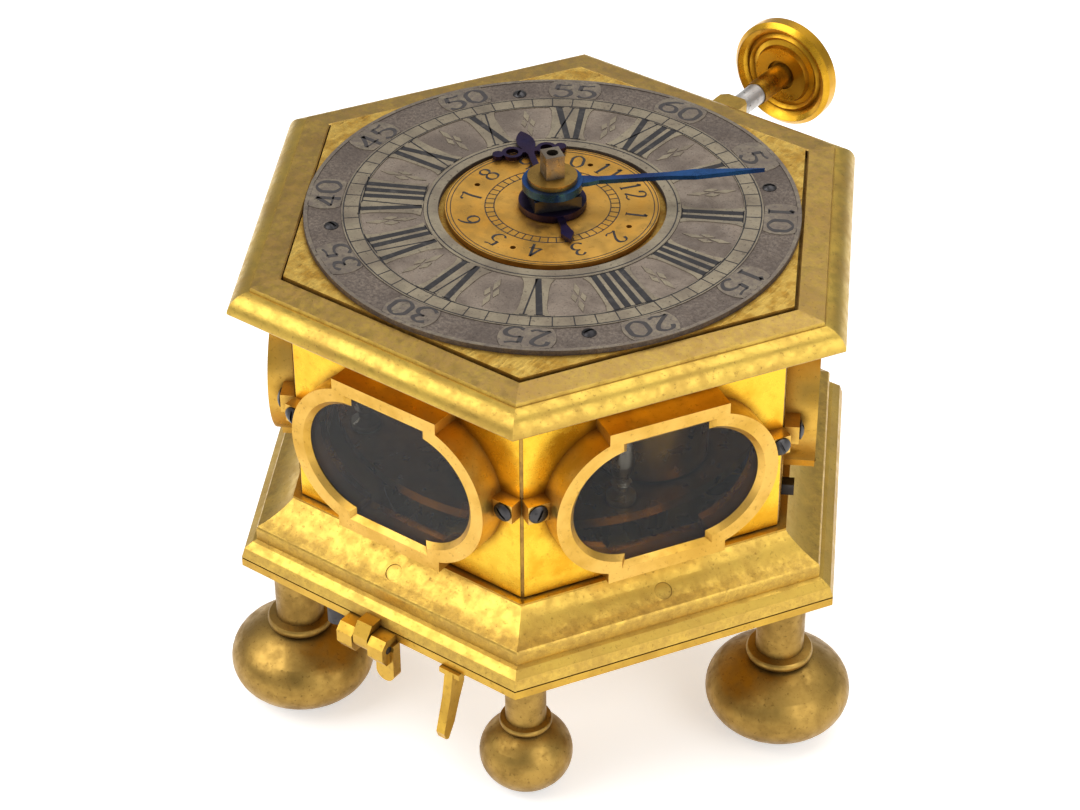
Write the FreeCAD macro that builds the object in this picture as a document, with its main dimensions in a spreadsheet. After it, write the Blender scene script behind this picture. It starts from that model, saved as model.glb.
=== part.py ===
import FreeCAD, Part
import math
import os

import Sketcher
from FreeCAD import Placement, Rotation, Vector

# A hexagonal table clock whose dial lies flat on top.
# Millimetres. The ground is z = 0, the hands turn about z, and the figure XII is towards +Y.
# "out" is a distance from the axis to a flat side, "reach" is one to a corner or to a centre.

SIZES = {
    # Stand: the bottom cover on its six feet
    "foot_height": 34.9,
    "cover_out": 57.07,
    "cover_thickness": 1.7,
    "key_hole_radius": 3.5,
    "large_foot_reach": 54.8,
    "large_ball_width": 28.4,
    "large_ball_height": 17.8,
    "large_ball_side": 6.4,
    "large_collar_radius": 6.2,
    "large_collar_height": 2.3,
    "large_neck_radius": 4.7,
    "small_foot_reach": 49.4,
    "small_ball_width": 18.1,
    "small_ball_height": 15.3,
    "small_ball_side": 6.8,
    "small_collar_radius": 4.9,
    "small_collar_height": 1.8,
    "small_neck_radius": 3.95,
    "foot_flat": 0.5,
    "foot_pad_radius": 7.2,
    "foot_pad_height": 1.4,
    "foot_stem_radius": 1.8,
    "foot_stem_height": 4.2,
    "nut_reach": 3.3,
    "nut_height": 1.8,
    # Hinge at the front edge and the hook under the cover
    "hinge_x": -0.4,
    "hinge_out": 59.4,
    "hinge_drop": 2.4,
    "hinge_pin_radius": 0.8,
    "knuckle_radius": 1.7,
    "knuckle_gap": 0.2,
    "tongue_width": 3.4,
    "tongue_rise": 1.6,
    "tongue_back": 2.1,
    "ear_width": 3.6,
    "ear_front": 1.9,
    "ear_low": 3.4,
    "ear_back": 4.0,
    "lug_width": 4.2,
    "lug_thickness": 2.2,
    "lug_drop": 7.5,
    "hook_x": 18.25,
    "hook_out": 51.2,
    "hook_reach": 6.7,
    "hook_toe": 9.8,
    "hook_drop": 13.9,
    "hook_blade": 1.9,
    "hook_width": 4.6,
    "hook_thickness": 1.2,
    "cover_screw_x": 11.2,
    "cover_screw_out": 54.6,
    "cover_screw_radius": 2.0,
    "cover_screw_head": 1.4,
    "cover_screw_long_head": 4.8,
    "cover_screw_shank": 0.9,
    # Base moulding, a hollow casting
    "base_height": 11.8,
    "base_ledge_out": 47.37,
    "base_ledge_height": 0.5,
    "base_slope_radius": 17.0,
    "base_nose_out": 54.2,
    "base_nose_drop": 5.4,
    "base_nose_radius": 1.15,
    "base_bead_drop": 8.1,
    "base_groove_out": 54.99,
    "base_groove_drop": 8.4,
    "base_arris_out": 56.46,
    "base_arris_drop": 9.5,
    "base_wall": 2.2,
    "joint_groove": 0.5,
    "joint_gap": 0.3,
    "plug_radius": 1.7,
    "plug_out": 50.7,
    "plug_drop": 3.6,
    "plug_length": 2.0,
    "plug_slant": 35.0,
    # Six side panels, their posts, frames and panes
    "panel_out": 46.0,
    "panel_thickness": 1.6,
    "panel_foot_gap": 0.3,
    "panel_mitre_gap": 0.4,
    "case_height": 45.1,
    "post_radius": 1.8,
    "post_rib_width": 0.6,
    "post_rib_setback": 0.3,
    "window_rise": 20.3,
    "frame_depth": 6.0,
    "frame_end_radius": 15.6,
    "frame_end_centre": 6.7,
    "frame_lobe_half": 11.9,
    "frame_half_height": 17.05,
    "frame_front_rim": 2.7,
    "frame_lip_rim": 3.7,
    "pane_recess": 1.0,
    "pane_rim": 2.0,
    "pane_gap": 0.15,
    "pane_thickness": 0.9,
    "lug_reach": 24.5,
    "frame_lug_half": 1.95,
    "frame_lug_depth": 2.8,
    "lug_rise": 1.1,
    "lug_screw_radius": 1.85,
    "lug_screw_head": 0.9,
    "lug_screw_shank": 0.8,
    "screw_slot": 0.5,
    "screw_slot_depth": 0.4,
    # Top moulding, dial plate and rings
    "moulding_out": 56.3,
    "moulding_fillet": 0.7,
    "moulding_inner_out": 44.3,
    "moulding_shoulder_out": 52.55,
    "moulding_shoulder_rise": 4.2,
    "moulding_step_out": 52.25,
    "moulding_step_rise": 4.9,
    "moulding_top_rise": 5.3,
    "recess_out": 47.0,
    "plate_gap": 0.45,
    "dial_plate_thickness": 2.1,
    "dial_plate_rise": 5.7,
    "ring_radius": 46.8,
    "ring_inner_radius": 21.5,
    "ring_thickness": 0.9,
    "ring_screw_reach": 41.7,
    "ring_screw_radius": 1.35,
    "ring_screw_head": 0.7,
    "ring_screw_shank": 0.6,
    "alarm_radius": 20.2,
    "alarm_thickness": 1.0,
    "alarm_hole_reach": 16.0,
    "alarm_hole_radius": 0.55,
    "alarm_angle": 54.0,
    # Hands, collars and the centre arbor
    "running_gap": 0.05,
    "rest_gap": 0.2,
    "hour_angle": 140.0,
    "hour_disc_radius": 6.4,
    "hour_disc_thickness": 1.4,
    "hour_blade_thickness": 0.8,
    "hour_tip": 25.5,
    "hour_tail": 14.0,
    "hour_blade_half": 1.25,
    "hour_ring_along": 19.0,
    "hour_ring_across": 3.4,
    "hour_ring_radius": 2.0,
    "hour_ring_band": 0.8,
    "hour_bud_radius": 1.1,
    "block_side": 9.0,
    "block_thickness": 2.4,
    "minute_angle": 42.4,
    "minute_disc_radius": 5.7,
    "minute_disc_thickness": 1.6,
    "minute_blade_thickness": 0.9,
    "minute_tip": 40.2,
    "minute_half": 1.2,
    "minute_stem_half": 0.7,
    "minute_widest": 27.0,
    "collet_radius": 4.7,
    "collet_thickness": 1.0,
    "arbor_end_rise": 4.8,
    "arbor_square": 3.6,
    "arbor_square_angle": 55.0,
    "arbor_bore": 1.1,
    "arbor_bore_depth": 4.0,
    "arbor_radius": 1.6,
    "minute_pipe_radius": 2.3,
    "hour_pipe_radius": 3.2,
    "alarm_pipe_radius": 4.2,
    # Plates and pillars of the movement
    "lower_plate_rise": 8.1,
    "plate_thickness": 2.0,
    "plate_spacing": 21.0,
    "plate_radius": 42.3,
    "pillar_reach": 38.0,
    "pillar_angle": -34.5,
    "pillar_foot_radius": 2.8,
    "pillar_waist_radius": 1.4,
    "pillar_belly_radius": 2.5,
    "pillar_belly_height": 9.0,
    "pillar_spigot_radius": 1.2,
    "pivot_radius": 0.7,
    # Motion work under the dial
    "cannon_rise": 1.1,
    "hour_wheel_rise": 5.7,
    "motion_thickness": 1.6,
    "motion_angle": -60.0,
    "minute_module": 0.5,
    "hour_module": 0.48,
    "mesh_play": 0.1,
    # Going train
    "great_module": 0.5,
    "great_rise": 1.7,
    "great_thickness": 1.6,
    "fusee_angle": 200.0,
    "fusee_radius": 9.5,
    "fusee_top_radius": 4.5,
    "fusee_length": 10.8,
    "centre_module": 0.42,
    "centre_wheel_drop": 5.7,
    "wheel_thickness": 1.4,
    "third_angle": 100.0,
    "third_module": 0.4,
    "third_rise": 7.9,
    "contrate_angle": 150.0,
    "contrate_rise": 1.7,
    "contrate_radius": 8.0,
    "contrate_band": 1.2,
    "contrate_teeth_height": 2.1,
    "crown_angle": 35.0,
    "crown_radius": 5.0,
    "crown_near": 12.9,
    "crown_disc": 1.0,
    "crown_teeth_height": 1.5,
    "potence_near": 9.5,
    "potence_far": 12.3,
    "potence_width": 4.6,
    "potence_rise": 7.5,
    "barrel_reach": 27.0,
    "barrel_angle": -70.0,
    "barrel_radius": 12.0,
    "barrel_rise": 2.1,
    "barrel_length": 12.0,
    "chain_rise": 7.7,
    "chain_width": 1.6,
    "chain_thickness": 0.6,
    "chain_gap": 0.4,
    # Balance under the lower plate
    "verge_radius": 0.6,
    "verge_reach": 17.4,
    "verge_rise": 14.0,
    "pallet_length": 1.6,
    "pallet_rise": 4.3,
    "balance_radius": 11.0,
    "balance_rim": 1.2,
    "balance_drop": 3.1,
    "balance_thickness": 1.1,
    "cock_thickness": 1.2,
    "cock_drop": 5.9,
    "cock_width": 4.4,
    "cock_foot": 12.6,
    # Striking train, hammer and bell
    "strike_reach": 27.2,
    "strike_angle": -12.0,
    "strike_radius": 11.4,
    "strike_barrel_rise": 0.9,
    "strike_barrel_length": 12.0,
    "strike_module": 0.64,
    "strike_wheel_drop": 6.9,
    "strike_wheel_thickness": 2.8,
    "pin_wheel_angle": 100.0,
    "pin_wheel_module": 0.35,
    "pin_wheel_drop": 2.5,
    "pin_length": 0.8,
    "pin_reach": 6.2,
    "fly_angle": 120.0,
    "fly_half": 4.8,
    "fly_rise": 2.5,
    "fly_length": 12.0,
    "fly_thickness": 0.5,
    "key_square": 3.0,
    "key_square_rise": 1.8,
    "bell_radius": 34.0,
    "bell_height": 10.6,
    "bell_rise": 1.4,
    "bell_wall": 1.2,
    "bell_hole_radius": 4.0,
    "bell_stud_radius": 1.8,
    "bell_nut_radius": 3.2,
    "hammer_reach": 37.2,
    "hammer_angle": 62.0,
    "hammer_swing": 26.0,
    "hammer_head_radius": 2.1,
    "hammer_rise": 3.4,
    "hammer_arm": 1.6,
    # Repeat plunger at the XII side
    "plunger_drop": 3.0,
    "plunger_radius": 2.25,
    "plunger_inner": 30.0,
    "plunger_head": 2.8,
    "block_half": 3.2,
    "block_end": 63.7,
    "block_drop": 3.0,
    "block_rise": 2.9,
    "rod_end": 71.0,
    "sleeve_radius": 2.5,
    "sleeve_gap": 0.7,
    "knob_start": 80.4,
    "knob_end": 84.6,
    "knob_radius": 11.5,
    "knob_rim": 2.0,
    "knob_crown": 2.0,
    "knob_bead_reach": 8.1,
    "knob_bead": 0.7,
    "knob_hub_radius": 6.0,
    "lever_pivot": 14.0,
    "lever_gap": 0.5,
    "lever_width": 3.0,
    "lever_stud": 1.5,
    # Strike and silent lever at the right side
    "silent_slide": -20.5,
    "silent_pivot": 33.0,
    "silent_end": 48.4,
    "silent_width": 2.4,
    "silent_thickness": 2.4,
    "silent_drop": 4.5,
    "silent_slot": 5.4,
    "silent_stud": 0.9,
}

# Tooth counts
CANNON_TEETH = 12
MINUTE_WHEEL_TEETH = 36
MINUTE_PINION_TEETH = 10
HOUR_WHEEL_TEETH = 40
GREAT_TEETH = 60
CENTRE_PINION_TEETH = 10
CENTRE_TEETH = 60
THIRD_PINION_TEETH = 8
THIRD_TEETH = 48
CONTRATE_PINION_TEETH = 8
CONTRATE_TEETH = 36
CROWN_PINION_TEETH = 6
CROWN_TEETH = 15
STRIKE_TEETH = 40
PIN_PINION_TEETH = 8
PIN_WHEEL_TEETH = 48
FLY_PINION_TEETH = 8
PIN_COUNT = 8

# Shape of a tooth, as shares of its module and of its pitch
TIP_HEIGHT = 0.75
ROOT_DEPTH = 1.1
TIP_SHARE = 0.09
ROOT_SHARE = 0.25

SIDES = 6
SIDE_TURN = 360 / SIDES
FIRST_SIDE = -30
SIDE_NAMES = ["right", "rear_right", "rear", "rear_left", "front_left", "front"]
COS_30 = math.cos(math.radians(30))
TAN_30 = math.tan(math.radians(30))
ALONG_X = Rotation(Vector(0, 1, 0), 90)
ALONG_Y = Rotation(Vector(1, 0, 0), -90)

doc = FreeCAD.newDocument("drum_table_clock")
sheet = doc.addObject("Spreadsheet::Sheet", "Sizes")
for row, (alias, number) in enumerate(SIZES.items(), start=1):
    sheet.set(f"A{row}", alias)
    sheet.set(f"B{row}", str(number))
    sheet.setAlias(f"B{row}", alias)
doc.recompute()
nodes = []


def value_of(item):
    """The number behind a size or a plain number."""
    return item.value if isinstance(item, Size) else float(item)


def formula_of(item):
    """The sheet formula behind a size or a plain number."""
    return item.formula if isinstance(item, Size) else f"({item:.9f})"


class Size:
    """A size that knows its value and its formula in the sheet."""

    def __init__(self, value, formula):
        self.value = value
        self.formula = formula

    def __add__(self, other):
        return Size(self.value + value_of(other), f"({self.formula} + {formula_of(other)})")

    def __radd__(self, other):
        return self + other

    def __neg__(self):
        return Size(-self.value, f"(-1 * {self.formula})")

    def __sub__(self, other):
        return Size(self.value - value_of(other), f"({self.formula} - {formula_of(other)})")

    def __rsub__(self, other):
        return Size(value_of(other) - self.value, f"({formula_of(other)} - {self.formula})")

    def __mul__(self, other):
        return Size(self.value * value_of(other), f"({self.formula} * {formula_of(other)})")

    def __rmul__(self, other):
        return self * other

    def __truediv__(self, other):
        return Size(self.value / value_of(other), f"({self.formula} / {formula_of(other)})")


class Driving:
    """Gives each cell of the sheet as a Size."""

    def __getattr__(self, alias):
        return Size(SIZES[alias], f"Sizes.{alias}")


cell = Driving()


def root(size):
    return Size(math.sqrt(size.value), f"sqrt({size.formula})")


def polar(reach, angle):
    """The two coordinates of a point at a reach and an angle in degrees."""
    turn = math.radians(value_of(angle))
    along = Size(math.cos(turn), f"cos({formula_of(angle)})")
    across = Size(math.sin(turn), f"sin({formula_of(angle)})")
    return reach * along, reach * across


def plus(first, second):
    return tuple(a + b for a, b in zip(first, second))


def bind(item, **sizes):
    """Set properties and tie them to the sheet."""
    for name, size in sizes.items():
        setattr(item, name, value_of(size))
        if isinstance(size, Size):
            item.setExpression(name, size.formula)


def place(item, at=(0, 0, 0), rotation=Rotation()):
    item.Placement = Placement(Vector(*[value_of(size) for size in at]), rotation)
    for axis, size in zip("xyz", at):
        if isinstance(size, Size):
            item.setExpression(f"Placement.Base.{axis}", size.formula)
    return item


def turned(angle):
    return Rotation(Vector(0, 0, 1), value_of(angle))


def node(name, item):
    """Make an object a finished piece under its own label."""
    item.Label = name
    nodes.append(item)
    return item


def cylinder(name, radius, height, at=(0, 0, 0), rotation=Rotation()):
    item = doc.addObject("Part::Cylinder", name)
    bind(item, Radius=radius, Height=height)
    return place(item, at, rotation)


def box(name, length, width, height, at=(0, 0, 0), rotation=Rotation()):
    item = doc.addObject("Part::Box", name)
    bind(item, Length=length, Width=width, Height=height)
    return place(item, at, rotation)


def prism(name, sides, reach, height, at=(0, 0, 0), rotation=Rotation()):
    item = doc.addObject("Part::Prism", name)
    item.Polygon = sides
    bind(item, Circumradius=reach, Height=height)
    return place(item, at, rotation)


def fuse(name, pieces, at=(0, 0, 0), rotation=Rotation()):
    item = doc.addObject("Part::MultiFuse", name)
    item.Shapes = pieces
    item.Refine = True
    return place(item, at, rotation)


def cut(name, base, tools, at=(0, 0, 0), rotation=Rotation()):
    item = doc.addObject("Part::Cut", name)
    item.Base = base
    item.Tool = tools[0] if len(tools) == 1 else group(f"{name}_tools", tools)
    return place(item, at, rotation)


def group(name, pieces):
    """Several solids side by side in one object."""
    item = doc.addObject("Part::Compound", name)
    item.Links = pieces
    return item


def placed(name, piece, at=(0, 0, 0), rotation=Rotation()):
    """A piece moved as a whole after it is made."""
    return place(group(name, [piece]), at, rotation)


def origin_plane(body, role):
    for feature in body.Origin.OriginFeatures:
        if feature.Role == role:
            return feature


def arc_between(start, end, radius):
    """The short arc from start to end. A positive radius turns left, a negative one turns right."""
    chord = end - start
    left = Vector(-chord.y, chord.x, 0).normalize()
    depth = math.sqrt(radius**2 - (chord.Length / 2) ** 2)
    centre = (start + end) / 2 + left * math.copysign(depth, radius)
    first, last = (start, end) if radius > 0 else (end, start)
    angles = [math.atan2(point.y - centre.y, point.x - centre.x) for point in (first, last)]
    return Part.ArcOfCircle(Part.Circle(centre, Vector(0, 0, 1), abs(radius)), *angles)


def fix_point(sketch, edge, end, point):
    """Hold one end of an edge at two sizes from the sketch's origin."""
    for size, kind, line in ((point[0], "DistanceX", -2), (point[1], "DistanceY", -1)):
        if value_of(size) == 0:
            sketch.addConstraint(Sketcher.Constraint("PointOnObject", edge, end, line))
            continue
        index = sketch.addConstraint(Sketcher.Constraint(kind, -1, 1, edge, end, value_of(size)))
        if isinstance(size, Size):
            sketch.setExpression(f"Constraints[{index}]", size.formula)


def outline(sketch, points, closed=True):
    """Draw lines and arcs through points. A third entry is the radius of the arc that follows."""
    count = len(points)
    spans = count if closed else count - 1
    ends = []
    for k in range(spans):
        start, end = [Vector(value_of(p[0]), value_of(p[1]), 0) for p in (points[k], points[(k + 1) % count])]
        if len(points[k]) == 2:
            sketch.addGeometry(Part.LineSegment(start, end), False)
            ends.append((1, 2))
            continue
        radius = points[k][2]
        sketch.addGeometry(arc_between(start, end, value_of(radius)), False)
        ends.append((1, 2) if value_of(radius) > 0 else (2, 1))
        size = radius if value_of(radius) > 0 else -radius
        index = sketch.addConstraint(Sketcher.Constraint("Radius", k, value_of(size)))
        if isinstance(size, Size):
            sketch.setExpression(f"Constraints[{index}]", size.formula)
    for k in range(spans if closed else spans - 1):
        after = (k + 1) % spans
        sketch.addConstraint(Sketcher.Constraint("Coincident", k, ends[k][1], after, ends[after][0]))
    for k in range(spans):
        fix_point(sketch, k, ends[k][0], points[k])
    return sketch


def new_body(name, at=(0, 0, 0), rotation=Rotation()):
    return place(doc.addObject("PartDesign::Body", name), at, rotation)


def new_sketch(body, name, role):
    sketch = body.newObject("Sketcher::SketchObject", name)
    sketch.AttachmentSupport = [(origin_plane(body, role), "")]
    sketch.MapMode = "FlatFace"
    return sketch


def padded(name, role, points, length, at=(0, 0, 0), rotation=Rotation()):
    """A body padded from one closed outline."""
    body = new_body(name, at, rotation)
    sketch = outline(new_sketch(body, f"{name}_outline", role), points)
    pad = body.newObject("PartDesign::Pad", f"{name}_pad")
    pad.Profile = sketch
    bind(pad, Length=length)
    return body


def revolved(name, points, at=(0, 0, 0), rotation=Rotation()):
    """A body turned about its own z from points given as radius and height."""
    body = new_body(name, at, rotation)
    sketch = outline(new_sketch(body, f"{name}_outline", "XZ_Plane"), points)
    turning = body.newObject("PartDesign::Revolution", f"{name}_turning")
    turning.Profile = sketch
    turning.ReferenceAxis = (sketch, ["V_Axis"])
    turning.Angle = 360
    return body


def hexagon_ring(name, points, path_out, at=(0, 0, 0)):
    """A body swept round the hexagon with mitred corners, from points given as out and height."""
    body = new_body(name, at)
    path = new_sketch(body, f"{name}_path", "XY_Plane")
    half = path_out * TAN_30
    reach = path_out / COS_30
    corners = [(0, path_out)] + [polar(reach, angle) for angle in (120, 180, 240, 300, 360, 60)]
    corners[1] = (-half, path_out)
    corners[3] = (-half, -path_out)
    corners[4] = (half, -path_out)
    corners[2] = (-reach, 0)
    corners[5] = (reach, 0)
    corners[6] = (half, path_out)
    outline(path, corners)
    profile = outline(new_sketch(body, f"{name}_profile", "YZ_Plane"), points)
    pipe = body.newObject("PartDesign::AdditivePipe", f"{name}_pipe")
    pipe.Profile = profile
    pipe.Spine = (path, [])
    pipe.Transition = "Right corner"
    return body


def side_angle(index):
    return FIRST_SIDE + SIDE_TURN * index


# Toothed wheels


def toothed_wheel(name, teeth, module, thickness, at, phase):
    """A spur wheel or pinion. No primitive has teeth, so the shape comes from a formula."""
    size = value_of(module)
    pitch = 2 * math.pi / teeth
    low = size * (teeth / 2 - ROOT_DEPTH)
    high = size * (teeth / 2 + TIP_HEIGHT)
    shares = ((low, -ROOT_SHARE), (high, -TIP_SHARE), (high, TIP_SHARE), (low, ROOT_SHARE))
    corners = []
    for k in range(teeth):
        for radius, share in shares:
            angle = (k + share) * pitch
            corners.append(Vector(radius * math.cos(angle), radius * math.sin(angle), 0))
    face = Part.Face(Part.makePolygon(corners + corners[:1]))
    item = doc.addObject("Part::Feature", name)
    item.Shape = face.extrude(Vector(0, 0, value_of(thickness)))
    return place(item, at, turned(phase))


def meshed_phase(phase, teeth, towards, other_teeth):
    """The turn in degrees that puts a gap of the other wheel on a tooth of the first."""
    past = ((towards - phase) / (360 / teeth)) % 1
    return towards + 180 + (past + 0.5) * 360 / other_teeth


def face_teeth(name, teeth, middle, band, height, lean, at, phase):
    """Teeth that stand up on the rim of a wheel, sunk a little into it."""
    size = value_of(height)
    width = value_of(band)
    near = value_of(middle) - width / 2
    pitch = 2 * math.pi * value_of(middle) / teeth
    sunk = -0.1
    solids = []
    for k in range(teeth):
        foot = ROOT_SHARE * pitch
        tip = TIP_SHARE * pitch
        shift = lean * pitch
        corners = [(-foot, sunk), (foot, sunk), (foot, 0), (tip + shift, size), (shift - tip, size),
                   (-foot, 0)]
        wire = Part.makePolygon([Vector(near, y, z) for y, z in corners + corners[:1]])
        tooth = Part.Face(wire).extrude(Vector(width, 0, 0))
        tooth.rotate(Vector(0, 0, 0), Vector(0, 0, 1), 360 * k / teeth)
        solids.append(tooth)
    item = doc.addObject("Part::Feature", name)
    item.Shape = Part.Compound(solids)
    return place(item, at, turned(phase))


def pitch_radius(module, teeth):
    return module * (teeth / 2)


def mesh_distance(module, teeth, other_teeth):
    return module * ((teeth + other_teeth) / 2) + cell.mesh_play


# Heights and places that several pieces share

cover_top = cell.foot_height + cell.cover_thickness
pin_height = cover_top - cell.hinge_drop
bell_rim_height = cover_top + cell.bell_rise
hammer_height = cover_top + cell.hammer_rise
key_square_end = cover_top + cell.key_square_rise
base_top = cover_top + cell.base_height
moulding_height = base_top + cell.case_height
window_height = base_top + cell.window_rise
panel_bottom = base_top + cell.panel_foot_gap
panel_length = moulding_height - panel_bottom
panel_inner = cell.panel_out - cell.panel_thickness
frame_front = cell.panel_out + cell.frame_depth
pane_front = frame_front - cell.pane_recess
plunger_height = moulding_height - cell.plunger_drop
dial_top = moulding_height + cell.dial_plate_rise
dial_bottom = dial_top - cell.dial_plate_thickness
ring_top = dial_top + cell.ring_thickness
alarm_bottom = dial_top + cell.rest_gap
alarm_top = alarm_bottom + cell.alarm_thickness
hour_disc_bottom = alarm_top + cell.rest_gap
block_bottom = hour_disc_bottom + cell.hour_disc_thickness
minute_disc_bottom = block_bottom + cell.block_thickness + cell.rest_gap
collet_bottom = minute_disc_bottom + cell.minute_disc_thickness
collet_top = collet_bottom + cell.collet_thickness
arbor_top = collet_top + cell.arbor_end_rise
lower_plate_height = base_top + cell.lower_plate_rise
lower_plate_top = lower_plate_height + cell.plate_thickness
upper_plate_height = lower_plate_top + cell.plate_spacing
upper_plate_top = upper_plate_height + cell.plate_thickness
arbor_length = upper_plate_top - lower_plate_height
cannon_height = upper_plate_top + cell.cannon_rise
hour_wheel_height = upper_plate_top + cell.hour_wheel_rise
great_height = lower_plate_top + cell.great_rise
centre_wheel_height = upper_plate_height - cell.centre_wheel_drop
third_height = lower_plate_top + cell.third_rise
contrate_height = lower_plate_top + cell.contrate_rise
potence_top = lower_plate_top + cell.potence_rise
barrel_height = lower_plate_top + cell.barrel_rise
chain_height = lower_plate_top + cell.chain_rise
verge_top = lower_plate_top + cell.verge_rise
strike_barrel_height = lower_plate_top + cell.strike_barrel_rise
strike_wheel_height = upper_plate_height - cell.strike_wheel_drop
pin_wheel_height = upper_plate_height - cell.pin_wheel_drop
fly_height = lower_plate_top + cell.fly_rise
balance_height = lower_plate_height - cell.balance_drop
cock_height = lower_plate_height - cell.cock_drop
silent_height = lower_plate_height - cell.silent_drop

fusee_reach = mesh_distance(cell.great_module, GREAT_TEETH, CENTRE_PINION_TEETH)
fusee_at = polar(fusee_reach, cell.fusee_angle)
barrel_at = polar(cell.barrel_reach, cell.barrel_angle)
third_reach = mesh_distance(cell.centre_module, CENTRE_TEETH, THIRD_PINION_TEETH)
third_at = polar(third_reach, cell.third_angle)
contrate_reach = mesh_distance(cell.third_module, THIRD_TEETH, CONTRATE_PINION_TEETH)
contrate_at = plus(third_at, polar(contrate_reach, cell.contrate_angle))
verge_at = plus(contrate_at, polar(cell.verge_reach, cell.crown_angle))
strike_at = polar(cell.strike_reach, cell.strike_angle)
pin_reach = mesh_distance(cell.strike_module, STRIKE_TEETH, PIN_PINION_TEETH)
pin_wheel_at = plus(strike_at, polar(pin_reach, cell.pin_wheel_angle))
fly_reach = mesh_distance(cell.pin_wheel_module, PIN_WHEEL_TEETH, FLY_PINION_TEETH)
fly_at = plus(pin_wheel_at, polar(fly_reach, cell.fly_angle))
motion_reach = mesh_distance(cell.minute_module, CANNON_TEETH, MINUTE_WHEEL_TEETH)
motion_at = polar(motion_reach, cell.motion_angle)
hammer_at = polar(cell.hammer_reach, cell.hammer_angle)
crown_tip = contrate_height + cell.wheel_thickness + cell.contrate_teeth_height
crown_module = cell.contrate_radius * (2 / CONTRATE_TEETH)
crown_axis = crown_tip - TIP_HEIGHT * crown_module + (CROWN_PINION_TEETH / 2) * crown_module


# The stand


def make_cover():
    plate = prism("cover_plate", SIDES, cell.cover_out / COS_30, cell.cover_thickness,
                  (0, 0, cell.foot_height))
    ears = []
    under = cell.hinge_drop - cell.cover_thickness
    front = -cell.ear_front
    for side in (-1, 1):
        near = cell.tongue_width / 2 + cell.knuckle_gap
        start = near if side > 0 else -near - cell.ear_width
        ears.append(padded(f"cover_ear_{side + 1}", "YZ_Plane", [
            (cell.ear_back, cell.hinge_drop), (front * 0.3, cell.hinge_drop), (front, cell.hinge_drop * 0.4),
            (front, -cell.ear_low * 0.5), (front * 0.4, -cell.ear_low), (cell.ear_front * 0.5, -cell.ear_low),
            (cell.ear_back, under * 0.1)], cell.ear_width,
            (cell.hinge_x + start, -cell.hinge_out, pin_height)))
    left = cell.hinge_x + cell.tongue_width / 2 + cell.knuckle_gap
    right = left + cell.lug_width
    low = -cell.lug_drop
    tip = cell.lug_width / 2
    lug = padded("cover_lug", "XZ_Plane", [(left, 0), (left, low, tip * 1.02), (right, low), (right, 0)],
                 cell.lug_thickness, (0, -cell.hinge_out + cell.lug_thickness + 0.5, cell.foot_height))
    solid = fuse("cover_solid", [plate, lug] + ears)
    holes = [cylinder("hinge_bore", cell.hinge_pin_radius + cell.running_gap / 2, 2 * cell.tongue_width + 10,
                      (cell.hinge_x - cell.tongue_width - 5, -cell.hinge_out, pin_height), ALONG_X)]
    for name, spot in (("fusee", fusee_at), ("strike", strike_at), ("barrel", barrel_at)):
        holes.append(cylinder(f"key_hole_{name}", cell.key_hole_radius, 10, spot + (cell.foot_height - 5,)))
    for index in range(SIDES):
        reach = cell.large_foot_reach if index % 2 == 0 else cell.small_foot_reach
        spot = polar(reach, 60 * index) + (cell.foot_height - 1,)
        holes.append(cylinder(f"stem_hole_{index}", cell.foot_stem_radius, 5, spot))
    for name, x, out in (("screw", -cell.cover_screw_x, cell.cover_screw_out),
                         ("hook", cell.hook_x, cell.hook_out)):
        spot = (x, -out, cell.foot_height - 1)
        holes.append(cylinder(f"cover_hole_{name}", cell.cover_screw_shank, 5, spot))
    node("bottom_cover", cut("cover_cut", solid, holes))


def make_foot(name, width, height, side, collar, collar_height, neck, reach, angle):
    """One turned foot: a flattened ball, a collar, a neck, a pad and the threaded stem."""
    half = width / 2
    middle = (height + cell.foot_flat) / 2
    crown = ((half - side) * (half - side) + middle * middle - side * side) / (2 * (middle - side))
    share = side / (crown - side)
    bend_out = (half - side) * (1 + share)
    bend_up = (crown - middle) * share
    centre = middle - cell.foot_flat
    flat = root(crown * crown - (crown - cell.foot_flat) * (crown - cell.foot_flat))
    throat = collar * 0.8
    seat = centre + middle - crown + root(crown * crown - throat * throat)
    flare = cell.foot_pad_radius * neck / cell.large_neck_radius
    top = cell.foot_height
    return revolved(name, [
        (0, 0), (flat, 0, crown), (bend_out, centre - side * (crown - middle) / (crown - side), side),
        (bend_out, centre + bend_up, crown), (throat, seat), (collar, seat + 0.3, collar_height * 0.55),
        (collar, seat + collar_height - 0.3), (neck, seat + collar_height),
        (neck, top - cell.foot_pad_height),
        (flare, top), (cell.foot_stem_radius, top), (cell.foot_stem_radius, top + cell.foot_stem_height),
        (0, top + cell.foot_stem_height)], polar(reach, angle) + (0,))


def make_feet():
    large = []
    small = []
    nuts = []
    for index in range(SIDES):
        if index % 2 == 0:
            large.append(make_foot(
                f"large_foot_{index}", cell.large_ball_width, cell.large_ball_height, cell.large_ball_side,
                cell.large_collar_radius, cell.large_collar_height, cell.large_neck_radius,
                cell.large_foot_reach, 60 * index))
            reach = cell.large_foot_reach
        else:
            small.append(make_foot(
                f"small_foot_{index}", cell.small_ball_width, cell.small_ball_height, cell.small_ball_side,
                cell.small_collar_radius, cell.small_collar_height, cell.small_neck_radius,
                cell.small_foot_reach, 60 * index))
            reach = cell.small_foot_reach
        nut = prism(f"foot_nut_{index}", SIDES, cell.nut_reach, cell.nut_height)
        bore = cylinder(f"foot_nut_bore_{index}", cell.foot_stem_radius, 10, (0, 0, -1))
        nuts.append(cut(f"foot_nut_cut_{index}", nut, [bore], polar(reach, 60 * index) + (cover_top,)))
    node("large_feet", group("large_feet_set", large))
    node("small_feet", group("small_feet_set", small))
    node("foot_nuts", group("foot_nuts_set", nuts))


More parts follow.
